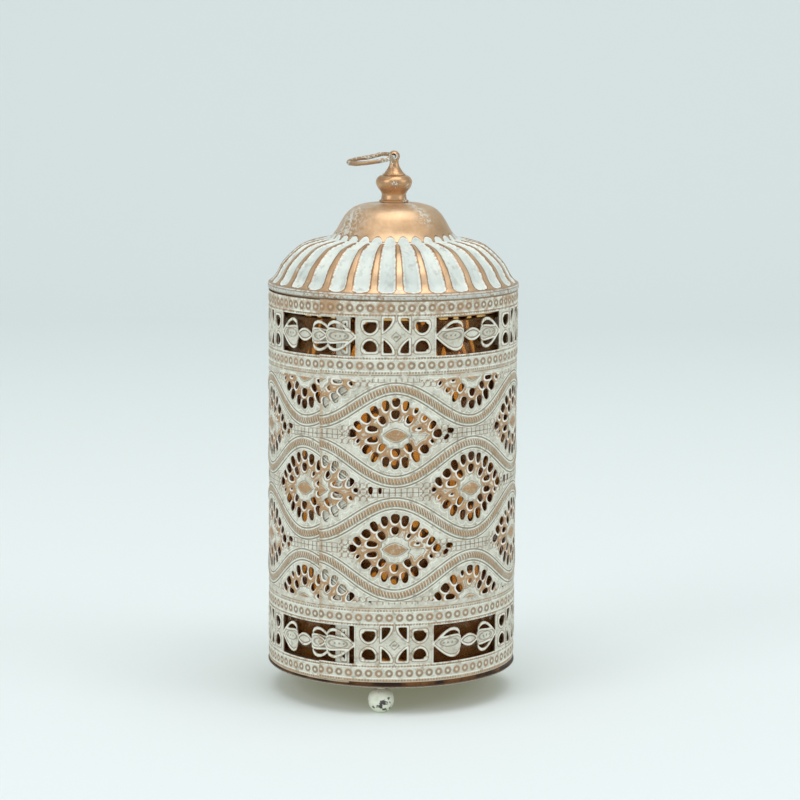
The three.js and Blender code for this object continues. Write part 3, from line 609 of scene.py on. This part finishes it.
def sleeve_fields(k, c):
    """Fields of the ornament on the grid of columns k and rises c. Distances are below 0 inside a shape."""
    K, C = np.meshgrid(k, c, indexing="ij")
    f = {key: np.full(K.shape, 2.0) for key in ("line", "almond", "flower", "ground", "scale", "crescent")}
    f["hole"] = np.full(K.shape, 3.0)
    within = np.abs(C) < FIELD_EDGE - 0.4
    f["eye"] = (np.abs(C) < FIELD_EDGE + 0.6).astype(float)

    def lower(key, value):
        f[key][part] = np.minimum(f[key][part], value)

    # rope borders: distance to the nearest wave, and length along it
    slope = np.abs(WAVE * math.pi / PITCH_U * np.sin(math.pi * K))
    cosine = 1 / np.sqrt(1 + slope ** 2)
    best = np.full(K.shape, 99.0)
    for middle, sign in ((1.5, 1), (0.5, -1), (-0.5, 1), (-1.5, -1)):
        distance = (C - middle * EYE_STEP - sign * WAVE * np.cos(math.pi * K)) * cosine
        best = np.where(np.abs(distance) < np.abs(best), distance, best)
    best = np.where(np.abs(C) < FIELD_EDGE, best, np.where(np.abs(best) < 4, np.sign(best) * 4 + best, best))
    f["rope_across"] = best
    steps = np.sqrt(1 + (WAVE * math.pi / PITCH_U * np.sin(math.pi * k)) ** 2)
    length = np.concatenate([[0], np.cumsum((steps[1:] + steps[:-1]) / 2 * np.diff(k) * PITCH_U)])
    f["rope_along"] = np.repeat(length[:, None], len(c), 1)
    # medallions
    neck = smoothstep(2.75, 3.0, np.abs(best)) * (np.abs(C) < FIELD_EDGE)
    columns = range(int(math.floor(k.min())) - 1, int(math.ceil(k.max())) + 2)
    for k0 in columns:
        rises = (-1, 1) if k0 % 2 == 0 else (-2, 0, 2)
        for n in rises:
            c0 = n * EYE_STEP
            lifted = HOLE_LIFT[n]
            iu = np.flatnonzero(np.abs((k - k0) * PITCH_U) < EYE_REACH[0])
            iv = np.flatnonzero(np.abs(c - c0) < EYE_REACH[1])
            holes = list(eye_holes(k0))  # also outside the grid, to keep the order of the draws
            if not len(iu) or not len(iv):
                continue
            part = np.ix_(iu, iv)
            x, y = (K[part] - k0) * PITCH_U, C[part] - c0
            for hole in holes:
                lower("hole", punched(x, y - lifted, *hole))
                # the same hole moved a little, which places a painted highlight on one side of it
                lower("crescent", punched(x + 0.32, y - lifted + 0.34, *hole))  # the hole, shifted
            phi = np.arctan2(y, x)
            flower = (np.hypot(x / 6.35, y / 5.85) - 1 - 0.05 * np.cos(12 * phi)) * 5.9
            almond = (np.abs(y) - 2.6 * (1 - np.abs(x / 5.1) ** 1.7)) * 0.85
            ground = (np.hypot(x / 19.3, (y - lifted) / (13.6 - 0.25 * np.abs(x))) - 1) * 12
            ground = np.maximum(ground, 0.3 - flower)
            scales = np.abs(np.hypot((np.abs(x) - 17.2) % 2.9 - 1.45, (y + 1.45) % 2.9 - 1.45) - 1.3)
            tips = (np.abs(x) > 17.2) & (np.abs(x) < 24.4) & (np.abs(y) < 4.3) & (np.abs(best[part]) > 2.9)
            for key, value in (("almond", almond), ("flower", flower), ("ground", ground),
                               ("line", np.minimum(np.abs(flower), np.abs(almond - 0.35)))):
                lower(key, np.where(within[part], value, 2.0))
            f["scale"][part] = np.where(tips & within[part], scales, f["scale"][part])
            neck[part] *= smoothstep(24.0, 24.8, np.abs(x))
    past_field = np.abs(C) - FIELD_EDGE + 0.9
    f["hole"] = np.where(past_field < 0, f["hole"], np.maximum(f["hole"], past_field))
    f["neck"] = neck
    f["ground"] = smoothstep(0.3, -0.3, f["ground"])
    # friezes
    for side in (-1, 1):
        iv = np.flatnonzero(np.abs(c - side * FRIEZE_C) < FRIEZE_REACH[1])
        for k0 in columns:
            iu = np.flatnonzero(np.abs((k - k0) * PITCH_U) < FRIEZE_REACH[0])
            if not len(iu):
                continue
            part = np.ix_(iu, iv)
            x, y = (K[part] - k0) * PITCH_U, C[part] - side * FRIEZE_C
            ax, ay = np.abs(x), np.abs(y)
            if k0 % 2 == 0:  # four leaves and four bowls round a diamond
                reach = ay + np.where(y > 0, 0.0, 1.2)
                slant = ((ax - 1.55) * 5.6 + (reach - 8.1) * 3.6) / 6.66
                slant = slant + 0.09 * (reach - 2.4) * (8.1 - reach)
                leaf = smax(smax(ax - 5.45, reach - 8.1, 0.3), -slant, 0.4)
                bowl = (np.hypot((ax - 11.1) / 3.0, (ay - 5.0) / 3.45) - 1) * 3.1
                bowl = smax(smax(bowl, ay - 6.4, 0.5), 0.9 - np.hypot(ax - 13.8, ay - 6.2), 0.3)
                opened = np.minimum(leaf, bowl)
                diamond = (ax + ay - 2.1) * 0.7
                dot = np.hypot(np.maximum(ax - 0.5, 0), ay) - 0.25
                curl = np.abs(np.hypot((ax - 7.1) / 0.55, (ay - 5.0) / 1.35) - 1.2) * 0.8
                line = np.minimum(np.minimum(np.abs(diamond), curl), np.abs(slant + 1.35) + 0.1)
                line = np.minimum(line, dot)
            else:  # a window round two scrolls with a lens between them
                rectangle = np.maximum(ax - WINDOW_HALF, ay - WINDOW_TOP)
                half = bud_half_height(ax)
                lens = (ay - 2.75 * (1 - (ax / 5.2) ** 2)) * 0.9
                solid = np.minimum(lens, (ay - half) * 0.8)
                opened = np.maximum(rectangle, -solid)
                crescent = np.abs(ay - 0.66 * half) - 1.0 * (1 - ((ax - 9.4) / 4.3) ** 2)
                crescent = np.where((y * side > -9) & ((y > 0) | (x > 0)), crescent, 3.0)
                opened = np.minimum(opened, np.where(ax < 15, crescent, 3.0))
                petal = (np.hypot((ax - 10.4) / 4.3, ay / 1.75) - 1) * 1.75
                dots = np.hypot(((ax - 7.9) % 2.1) - 1.05, ay) - 0.28
                dots = np.where((ax > 7.9) & (ax < 14.2), dots, 2.0)
                inside_lens = (ay - 1.5 * (1 - (ax / 3.9) ** 2)) * 0.9
                line = np.minimum(np.minimum(np.abs(petal), dots), np.abs(inside_lens))
            lower("hole", smax(opened, ay - WINDOW_TOP, 0.1))
            lower("line", line)
    return f


def march(field):
    """Cells of the grid where field is above 0, cut along its zero line.
    Returns grid positions of the vertices, and polygons by corner count."""
    keep = field > 0
    ids = np.full(field.shape, -1, np.int64)
    ids[keep] = np.arange(keep.sum())
    gi, gj = np.nonzero(keep)
    spots = [np.stack([gi, gj], -1).astype(float)]
    count = len(gi)
    # crossings along u and along v
    cross = []
    for axis, a, b in ((0, field[:-1], field[1:]), (1, field[:, :-1], field[:, 1:])):
        cut = (a > 0) != (b > 0)
        number = np.full(cut.shape, -1, np.int64)
        number[cut] = count + np.arange(cut.sum())
        count += int(cut.sum())
        i, j = np.nonzero(cut)
        share = np.clip(a[cut] / (a[cut] - b[cut]), 0.02, 0.98)
        spot = np.stack([i, j], -1).astype(float)
        spot[:, axis] += share
        spots.append(spot)
        cross.append(number)
    # each cell's ring: corner, edge, corner, edge ... anticlockwise seen from outside
    ring = np.stack([
        ids[:-1, :-1], cross[0][:, :-1], ids[1:, :-1], cross[1][1:, :],
        ids[1:, 1:], cross[0][:, 1:], ids[:-1, 1:], cross[1][:-1, :],
    ], -1).reshape(-1, 8)
    ring = ring[(ring[:, ::2] >= 0).any(1)]
    pattern = (ring >= 0) @ (1 << np.arange(8))
    polygons = {}
    for code in np.unique(pattern):
        places = [p for p in range(8) if code >> p & 1]
        polygons.setdefault(len(places), []).append(ring[pattern == code][:, places])
    return np.concatenate(spots), [np.concatenate(g) for n, g in sorted(polygons.items()) if n > 2]


def open_edges(groups):
    """Directed edges that only one polygon has."""
    pairs = np.concatenate([np.stack([g, np.roll(g, -1, 1)], -1).reshape(-1, 2) for g in groups])
    span = pairs.max() + 1
    own, back = pairs[:, 0] * span + pairs[:, 1], pairs[:, 1] * span + pairs[:, 0]
    return pairs[~np.isin(own, back)]


def sheet_law(u):
    """Azimuth in radians, and lift of the outer layer over the sheet's own end."""
    return np.radians(SEAM) + u / SLEEVE_R, LAP_LIFT * (1 - smoothstep(LAP, LAP + LAP_EASE, u))


def column_of(u):
    """Column number of the pattern, a fraction between columns."""
    return np.interp(SEAM + np.degrees(u / SLEEVE_R), KNOTS_AZ, KNOTS_K)


def stamped_relief(f, k, c):
    """How far the stamped sheet stands out."""
    rope = f["rope_across"]
    relief = 0.30 * np.sqrt(np.clip(1 - (rope / 1.05) ** 2, 0, 1)) + 0.10 * smoothstep(2.5, 2.2, np.abs(rope))
    relief = relief * (np.abs(c) < FIELD_EDGE)[None, :]
    relief += np.where(f["eye"] > 0.5, 0.16, 0.30) * np.exp(-((f["hole"] - 0.3) / 0.42) ** 2)
    relief += 0.20 * smoothstep(0.0, -1.0, f["flower"]) + 0.26 * smoothstep(0.1, -0.9, f["almond"])
    row = np.minimum(*(np.abs(np.abs(c) - rise) for rise in RING_ROWS))[None, :]
    ring_x = ((k * RINGS_PER_COLUMN) % 1 - 0.5)[:, None] * PITCH_U / RINGS_PER_COLUMN
    relief += 0.16 * np.exp(-((np.hypot(ring_x, row) - 1.18) / 0.4) ** 2)
    bumps = (0.6 + 0.4 * np.cos(2 * math.pi * BUMPS_PER_COLUMN * k))[:, None]
    return relief + 0.12 * np.exp(-((row - 3.05) / 0.4) ** 2) * bumps


def sleeve():
    """The rolled sheet: its outer and inner face with the holes cut out, and the walls between."""
    length = 2 * math.pi * SLEEVE_R + LAP
    nu, nv = int(round(length / GRID)) + 1, int(round(SLEEVE_H / GRID)) + 1
    u = np.linspace(0, length, nu)
    v = np.linspace(0, SLEEVE_H, nv)
    k, c = column_of(u), v - PATTERN_MIDDLE
    f = sleeve_fields(k, c)
    # the end under the lap stays whole
    f["hole"] = np.maximum(np.minimum(f["hole"], 3.0), (u - length + 1.9)[:, None])
    relief = stamped_relief(f, k, c)
    # bare copper: a smear at the seam's top, and the sheet's edge along the seam
    smear = smoothstep(16, 7, u)[:, None] * smoothstep(156.5, 160.5, v)[None, :]
    strip = 0.6 * smoothstep(2.2, 1.0, u)[:, None] * smoothstep(132, 120, v)[None, :]
    f["bare"] = np.clip(smear + strip, 0, 1)
    spots, groups = march(f["hole"])
    fi, fj = spots[:, 0], spots[:, 1]

    def sample(grid):
        """Values of a field at the mesh's points."""
        i, j = np.minimum(fi.astype(int), nu - 2), np.minimum(fj.astype(int), nv - 2)
        x, y = fi - i, fj - j
        return (grid[i, j] * (1 - x) * (1 - y) + grid[i + 1, j] * x * (1 - y)
                + grid[i, j + 1] * (1 - x) * y + grid[i + 1, j + 1] * x * y)

    pu, pv = fi * length / (nu - 1), fj * SLEEVE_H / (nv - 1)
    azimuth, lift = sheet_law(pu)
    # the pattern climbs a little round the sheet, and the sheet hangs lower left of its seam
    climb = np.interp(pu, [0, 138, 272, length], [-0.2, 0.65, -0.65, -0.11])
    left = smoothstep(150, 290, pu) * smoothstep(length + 30, length - 8, pu)
    z = SLEEVE_Z + pv + climb * smoothstep(0, 5, pv) * smoothstep(SLEEVE_H, SLEEVE_H - 5, pv)
    z -= left * (0.55 + 0.45 * smoothstep(20, 0, pv))
    rise = sample(relief)
    outer = on_circle(BASE_R + lift + rise, azimuth, z)
    inner = on_circle(BASE_R - SHEET + lift + rise * 0.6, azimuth, z)
    n = len(outer)
    # walls of the holes and of the sheet's four edges
    ends, back = np.unique(open_edges(groups), return_inverse=True)
    back = back.reshape(-1, 2)
    points = np.concatenate([outer, inner, outer[ends], inner[ends]])
    points[:, :2] = np.clip(points[:, :2], -LIP_R + TIGHT, LIP_R - TIGHT)
    wall_o, wall_i = 2 * n + back, 2 * n + len(ends) + back
    walls = np.stack([wall_o[:, 1], wall_o[:, 0], wall_i[:, 0], wall_i[:, 1]], -1)
    polygons = [*groups, *(g[:, ::-1] + n for g in groups), walls]
    values = {"column": np.interp(fi, np.arange(nu), k), "rise": pv - PATTERN_MIDDLE}
    values.update((key, sample(f[key])) for key in SHADED)
    values = {key: np.concatenate([w, w, w[ends], w[ends]]) for key, w in values.items()}
    values["inner"] = np.repeat([0.0, 1.0, 0.35, 1.0], [n, n, len(ends), len(ends)])
    build("pierced_sheet", points, polygons, "body", "whitewashed_sheet", ["pierced_sleeve"], values,
          sharp=None)


sleeve()


# ===== Lid =====

SHOULDER_W = 26.5
SHOULDER_H = 19.15
LIP_ROUND = 0.9
FLUTES = 30
FIRST_RIB = 3.1  # azimuth
POINTS_PER_FLUTE = 18
LID_WALL = 1.5
BORE_R = 2.3  # the hole that the finial's stud passes
SHOULDER = [
    (LIP_R - LIP_ROUND, LIP_H),
    *((LIP_R - inward * SHOULDER_W, LIP_H + rise * SHOULDER_H)
      for inward, rise in ((0.13, 0.15), (0.27, 0.476), (0.536, 0.81), (0.78, 0.94))),
    (DOME_R, CREASE_H),
]
DOME = [
    (DOME_R, CREASE_H),
    *((share * DOME_R, CREASE_H + rise * DOME_H)
      for share, rise in ((0.907, 0.206), (0.82, 0.481), (0.742, 0.688), (0.624, 0.863), (0.452, 0.963))),
    (7.4, LID_TOP),
]


def lid_shell():
    """Fluted shoulder and smooth dome over a plain inside."""
    corner = [(LIP_R - LIP_ROUND * (1 - math.cos(a)), LIP_H - LIP_ROUND * (1 - math.sin(a)))
              for a in np.linspace(0, math.pi / 2, 5)[:-1]]
    shoulder, dome = spline(SHOULDER, 9), spline(DOME, 6)
    lip = [(LIP_R - 0.25, 0.0), (LIP_R, 0.3), (LIP_R, 0.9)]
    outside = np.vstack([lip, corner, shoulder, dome[1:], [(5.0, LID_TOP), (BORE_R, LID_TOP)]])
    arc = np.concatenate([[0], np.cumsum(np.hypot(*np.diff(outside, axis=0).T))])
    first = len(lip) + len(corner)
    start, crease = arc[first], arc[first + len(shoulder) - 1]
    cols = FLUTES * POINTS_PER_FLUTE
    azimuth = np.arange(cols) * 2 * math.pi / cols
    share = ((np.degrees(azimuth) - FIRST_RIB) / (360 / FLUTES)) % 1
    from_crest = np.minimum(share, 1 - share)[None, :]
    radius, height = outside[:, :1], outside[:, 1:]
    # flute is above 0 in a flute and below it on a rib
    pitch = 2 * math.pi * radius / FLUTES
    rib_half = np.clip(1.85 * (radius / LIP_R) ** 1.5, 0.5, 2.6)
    side = from_crest * pitch - rib_half
    half = np.maximum(0.5 * pitch - rib_half, 0.2)
    middle = np.clip((0.5 - from_crest) * pitch / half, 0, 1)
    rounding = 1 - np.sqrt(np.clip(1 - middle ** 2, 0, 1))
    low_end = arc[:, None] - start - 0.2 - 2.0 * rounding
    high_end = crease + 3.0 - arc[:, None] - 4.0 * rounding
    flute = np.minimum(np.minimum(side, low_end), high_end)
    along = np.clip((arc - start) / (crease - start), 0, 1)[:, None]
    depth = 1.05 * np.minimum(1, np.sin(math.pi * along) * 2.2) * smoothstep(-0.5, 1.7, side)
    depth = depth * (arc[:, None] > start) * (1 + 0.25 * (1 - middle ** 2))
    points = on_circle(radius - depth * 0.8, azimuth, height - depth * 0.6 + JOINT_Z).reshape(-1, 3)
    # inside: the same profile moved in by the wall
    tangent = np.gradient(outside, axis=0)
    tangent /= np.linalg.norm(tangent, axis=1)[:, None]
    ceiling = LID_TOP - LID_WALL
    inside = outside + np.stack([-tangent[:, 1], tangent[:, 0]], -1) * LID_WALL
    inside = inside[(inside[:, 1] > 1.8) & (inside[:, 1] < ceiling - 0.02)]
    inside = np.vstack([[lip[0], (54.0, 0.0), (54.0, 1.7), (inside[0, 0], 1.7)],
                        inside, [(6.5, ceiling), (BORE_R, ceiling), (BORE_R, LID_TOP)]])
    lathed, quads = lathe(inside, 120)
    lathed[:, 2] += JOINT_Z
    faces = np.concatenate([tube_quads(len(outside), cols), quads[:, ::-1] + len(points)])
    # white scars on the dome: left, right and round the top
    up = np.repeat(arc[:, None], cols, 1)
    turn = (np.degrees(azimuth) + 180) % 360 - 180
    scar = np.exp(-((turn + 62) / 22) ** 2)
    scar = scar + np.exp(-((turn - 40) / 9) ** 2) * smoothstep(crease + 6, crease + 12, up)
    scar = scar + smoothstep(arc[-3] - 3.5, arc[-3] - 0.5, up) * 0.6
    scar = smoothstep(crease + 1, crease + 3, up) * scar
    blank = np.zeros(len(lathed))
    values = {
        "flute": np.concatenate([flute.ravel(), blank - 2]),
        "up": np.concatenate([up.ravel(), blank + 50]),
        "scar": np.concatenate([np.clip(scar, 0, 1).ravel(), blank]),
    }
    build("lid_fluted_shell", np.concatenate([points, lathed]), [faces], "lid", "lid_metal", ["lid_shell"],
          values, sharp=50)


lid_shell()

COLLAR_R = 52.818
turned("lid_collar_band", [
    (COLLAR_R - 0.6, JOINT_Z - 7.9), (COLLAR_R - 0.3, JOINT_Z - 8.0), (COLLAR_R, JOINT_Z - 7.8),
    (COLLAR_R, JOINT_Z + 0.7), (COLLAR_R + 0.9, JOINT_Z + 0.7), (COLLAR_R + 0.9, JOINT_Z + 1.7),
    (COLLAR_R - 0.6, JOINT_Z + 1.7),
], 120, "lid", "copper_finish", ["lid_collar"], closed=True)


# ===== Finial and ring =====

EYE_R = 2.5
EYE_BORE_R = 1.42


def finial():
    """Turned finial with its stud, and the eye's bore cut through from front to back."""
    z0 = JOINT_Z + LID_TOP
    foot = [(0.02, -6.6), (2.0, -6.6), (2.0, 0.0), (6.2, 0.0), (6.45, 0.25), (6.45, 0.85), (6.1, 1.15),
            (5.6, 1.3), (5.6, 1.9)]
    bulb = spline([(5.5, 2.2), (5.35, 3.6), (5.95, 4.9), (7.1, 6.3), (7.9, 8.3), (7.75, 10.0), (6.6, 11.4),
                   (5.0, 12.0)], 6)
    cone = spline([(5.1, 12.1), (5.0, 12.45), (4.35, 12.8), (3.3, 14.2), (2.5, 15.5), (2.05, 16.8),
                   (1.95, 17.9)], 6)
    eye = [(EYE_R * math.sin(a), EYE_Z - z0 - EYE_R * math.cos(a))
           for a in np.linspace(0.89, math.pi - 0.008, 16)]
    points, quads = lathe(np.vstack([foot, bulb, cone, eye]), 64)
    points[:, 2] += z0
    piece = build("finial_turned", points, [quads], "lid", "copper_finish", ["finial"], sharp=40)
    cutter_points, cutter_quads = lathe([(0.01, -6), (EYE_BORE_R, -6), (EYE_BORE_R, 6), (0.01, 6)], 32)
    spin = Matrix.Rotation(math.radians(90), 4, "X")
    mesh = bpy.data.meshes.new("eye_bore")
    placed = [(spin @ Vector(p)) * MM + Vector((0, 0, EYE_Z * MM)) for p in cutter_points]
    mesh.from_pydata([tuple(p) for p in placed], [], cutter_quads.tolist())
    cutter = add_object("eye_bore", mesh)
    modifier = piece.modifiers.new("bore", "BOOLEAN")
    modifier.operation, modifier.object, modifier.solver = "DIFFERENCE", cutter, "EXACT"
    bpy.context.view_layer.update()
    cut = bpy.data.meshes.new_from_object(piece.evaluated_get(bpy.context.evaluated_depsgraph_get()))
    piece.modifiers.clear()
    piece.data = cut
    cut.set_sharp_from_angle(angle=math.radians(40))
    bpy.data.objects.remove(cutter)


finial()


def ring():
    """Bent wire ring, a little out of true, lying out to one side through the finial's eye."""
    count, sides = 96, 14
    angle = np.arange(count) * 2 * math.pi / count
    radius, wire = 10.1, 0.93
    lie, tilt = math.radians(8), math.radians(4.5)
    out = -radius + radius * np.cos(angle) * (1 + 0.02 * np.sin(2 * angle))
    span = radius * np.sin(angle)
    warp = 0.55 * np.exp(-((out + 4.5) / 3.5) ** 2) - 0.25 * np.exp(-((out + 12) / 4) ** 2)
    warp = warp * (span > 0) * np.abs(np.sin(angle))
    x = out * math.cos(lie) - warp * math.sin(lie)
    z = out * math.sin(lie) + warp * math.cos(lie)
    centre = np.stack([x, span * math.cos(tilt), EYE_Z + z + span * math.sin(tilt)], -1)
    tangent = np.roll(centre, -1, 0) - np.roll(centre, 1, 0)
    tangent /= np.linalg.norm(tangent, axis=1)[:, None]
    up = np.array([-math.sin(lie), 0, math.cos(lie)])
    side = np.cross(tangent, up)
    side /= np.linalg.norm(side, axis=1)[:, None]
    lift = np.cross(side, tangent)
    thick = wire * (1 + 0.05 * np.sin(5 * angle) + 0.04 * np.sin(11 * angle + 1))[:, None, None]
    turn = np.arange(sides) * 2 * math.pi / sides
    tube = (centre[:, None, :] + thick * (np.cos(turn)[None, :, None] * side[:, None, :]
                                          + np.sin(turn)[None, :, None] * lift[:, None, :]))
    quads = tube_quads(count, sides, closed=True)[:, ::-1]
    build("hanging_wire_ring", tube.reshape(-1, 3), [quads], "ring", "copper_finish", ["hanging_ring"],
          sharp=None, material="ring_finish")


ring()


# ===== Base, feet, glass, hoop and cup =====

FLANGE_R = 53.718
turned("base_dish", [
    (1.8, 11.3), (46.0, 11.3), (50.6, 11.35), (51.6, 11.55), (53.6, 12.15), (54.4, 12.3), (54.95, 12.45),
    (55.2, 12.75), (55.2, 13.1), (55.0, 13.35), (54.75, 13.4), (54.68, 13.45), (54.68, SLEEVE_Z),
    (FLANGE_R, SLEEVE_Z), (FLANGE_R, 21.7), (FLANGE_R - 0.4, 22.0), (FLANGE_R - 0.8, 21.7),
    (FLANGE_R - 0.8, 12.9), (FLANGE_R - 1.2, 12.5), (1.8, 12.5),
], 144, "body", "dark_copper", ["base_plate"], closed=True, sharp=40)

FOOT_CIRCLE = 47.232
FIRST_FOOT = -5  # azimuth
FOOT_R = 5.65
FOOT_FLAT_R = 1.6
FOOT_NECK_R = 2.2
for index in range(3):
    azimuth = math.radians(FIRST_FOOT + 120 * index)
    flat, neck = math.asin(FOOT_FLAT_R / FOOT_R), math.asin(FOOT_NECK_R / FOOT_R)
    centre = FOOT_R * math.cos(flat)
    ball = [(FOOT_R * math.sin(a), max(centre - FOOT_R * math.cos(a), 0.0))
            for a in np.linspace(flat, math.pi - neck, 28)]
    stud = [(FOOT_NECK_R, 11.3), (1.25, 11.3), (1.25, 15.1), (1.0, 15.3), (0.02, 15.3)]
    turned(f"ball_foot_turned_{index + 1}", [(0.02, 0.0), *ball, *stud], 48, "body", "foot_whitewash",
           [f"ball_foot_{index + 1}"], at=on_circle(FOOT_CIRCLE, azimuth, 0))

GLASS_R, GLASS_BORE = 52.518, 50.718
turned("glass_liner", [
    (GLASS_BORE, 12.8), (GLASS_BORE + 0.5, 12.5), (GLASS_R - 0.5, 12.5), (GLASS_R, 12.9), (GLASS_R, 170.4),
    (GLASS_R - 0.4, 170.9), (GLASS_BORE + 0.9, 171.0), (GLASS_BORE + 0.4, 170.9), (GLASS_BORE, 170.4),
], 144, "body", "amber_glass", ["glass_cylinder"], closed=True, sharp=60)

HOOP_R = 53.718
turned("top_hoop_band", [
    (HOOP_R - 0.6, 173.0), (HOOP_R, 173.0), (HOOP_R, 179.5), (54.7, 179.5), (54.9, 179.65), (54.9, 179.9),
    (54.7, JOINT_Z), (HOOP_R - 0.6, JOINT_Z),
], 120, "body", "dark_copper", ["top_hoop"], closed=True)

CUP_BORE = 20.2
turned("candle_cup_pressed", [
    (1.8, 12.5), (5.0, 12.5), (5.2, 12.7), (5.2, 13.4), (20.4, 13.4), (20.8, 13.8), (20.8, 23.3),
    (21.05, 23.45), (21.3, 23.75), (21.3, 24.05), (21.1, 24.35), (20.8, 24.5), (20.4, 24.4), (CUP_BORE, 24.2),
    (CUP_BORE, 14.3), (19.9, 14.0), (5.0, 14.0), (4.6, 13.7), (4.6, 13.1), (1.8, 13.1),
], 72, "body", "copper_finish", ["candle_cup"], closed=True)

turned("rivet_domed", [
    (0.02, 10.5), (1.4, 10.55), (2.5, 10.8), (3.1, 11.15), (3.2, 11.3), (1.5, 11.3), (1.5, 13.1), (3.2, 13.1),
    (3.1, 13.3), (2.5, 13.65), (1.4, 13.88), (0.02, 13.9),
], 32, "body", "hardware", ["cup_rivet"])

# nodes that keep their CAD mesh
for name in ("foot_nut_1", "foot_nut_2", "foot_nut_3", "finial_nut", "finial_washer"):
    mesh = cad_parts[name].data
    mesh.materials.clear()
    mesh.materials.append(MATERIALS["hardware"])


# ===== Stage, light and camera =====

FLOOR_HALF = 40.0  # these four are in metres
WALL_HALF = 6.0
SWEEP_Y = 1.4
SWEEP_R = 1.2


def stage():
    """Paper sweep that curves up into a far wall, on a wide floor for the other views."""
    t = Tree("pale_paper")
    x, y, z = t.position()
    far = (y + z * 1.5).ramp(0.1, 1.3)
    color = t.mix(far, (0.60, 0.625, 0.665), (0.60, 0.645, 0.64))
    color = t.mix(t.noise(400.0, 2.0).ramp(0.3, 0.8) * 0.03, color, (0.6, 0.64, 0.64))
    t.surface(color, 0.9, 0.0)
    # painted light: the floor glows, olive near the lantern to lighten and tint its shadow, grey further off
    painted_fill_glow = t.mix(far, (0.125, 0.142, 0.088), (0.09, 0.09, 0.09))
    t.put(t.shader, {"Specular IOR Level": 0.1, "Emission Color": painted_fill_glow, "Emission Strength": 1.0})
    turn = np.linspace(0, math.pi / 2, 25)
    line = [*zip(SWEEP_Y + SWEEP_R * np.sin(turn), SWEEP_R - SWEEP_R * np.cos(turn))]
    line.append((SWEEP_Y + SWEEP_R, 4.0))
    points = [(side * WALL_HALF, y, z) for y, z in line for side in (-1, 1)]
    faces = [(2 * i, 2 * i + 1, 2 * i + 3, 2 * i + 2) for i in range(len(line) - 1)]
    first = len(points)
    points += [(x * FLOOR_HALF, y * FLOOR_HALF, 0.0) for x, y in ((-1, -1), (1, -1), (1, 1), (-1, 1))]
    faces.append((first, first + 1, first + 2, first + 3))
    mesh = bpy.data.meshes.new("floor")
    mesh.from_pydata(points, [], faces)
    mesh.polygons.foreach_set("use_smooth", np.ones(len(faces), bool))
    mesh.materials.append(t.material)
    add_object("floor", mesh)


stage()


def softbox(name, place, target, width, height, power):
    """White rectangular light; lengths are in metres and the power in watts."""
    light = bpy.data.lights.new(name, "AREA")
    light.shape, light.size, light.size_y = "RECTANGLE", width, height
    light.energy = power
    lamp = add_object(name, light)
    lamp.location = place
    lamp.rotation_mode = "QUATERNION"
    lamp.rotation_quaternion = (Vector(target) - Vector(place)).to_track_quat("-Z", "Y")


softbox("top_light", (0.15, -0.45, 2.6), (0, 0, 0.1), 2.4, 1.8, 34)
softbox("left_light", (-2.1, -1.8, 1.5), (0, 0, 0.12), 1.3, 2.0, 22)
softbox("right_light", (2.4, -1.1, 1.3), (0, 0, 0.12), 1.3, 2.0, 14)

world = bpy.data.worlds.new("studio")
bpy.context.scene.world = world
world.use_nodes = True
background = world.node_tree.nodes["Background"]
background.inputs["Color"].default_value = (0.86, 0.93, 0.95, 1)
background.inputs["Strength"].default_value = 0.75

view = bpy.context.scene.view_settings
view.view_transform, view.look = "Standard", "None"
view.exposure, view.gamma = 0.0, 1.0


def camera():
    """The photograph's camera."""
    data = bpy.data.cameras.new("camera")
    data.sensor_width = 36.0
    data.lens = data.sensor_width * FOCAL / IMAGE
    data.clip_start, data.clip_end = 0.05, 100
    made = add_object("camera", data)
    bpy.context.scene.camera = made
    pitch = math.radians(PITCH)
    forward = Vector((0, math.cos(pitch), -math.sin(pitch)))
    aside = (IMAGE / 2 - AXIS_PIXEL) / FOCAL * DISTANCE
    place = Vector((aside, 0, AIM_HEIGHT)) - forward * DISTANCE
    turn = Matrix.Rotation(math.radians(90) - pitch, 4, "X") @ Matrix.Rotation(math.radians(ROLL), 4, "Z")
    made.matrix_world = Matrix.Translation(place * MM) @ turn


camera()
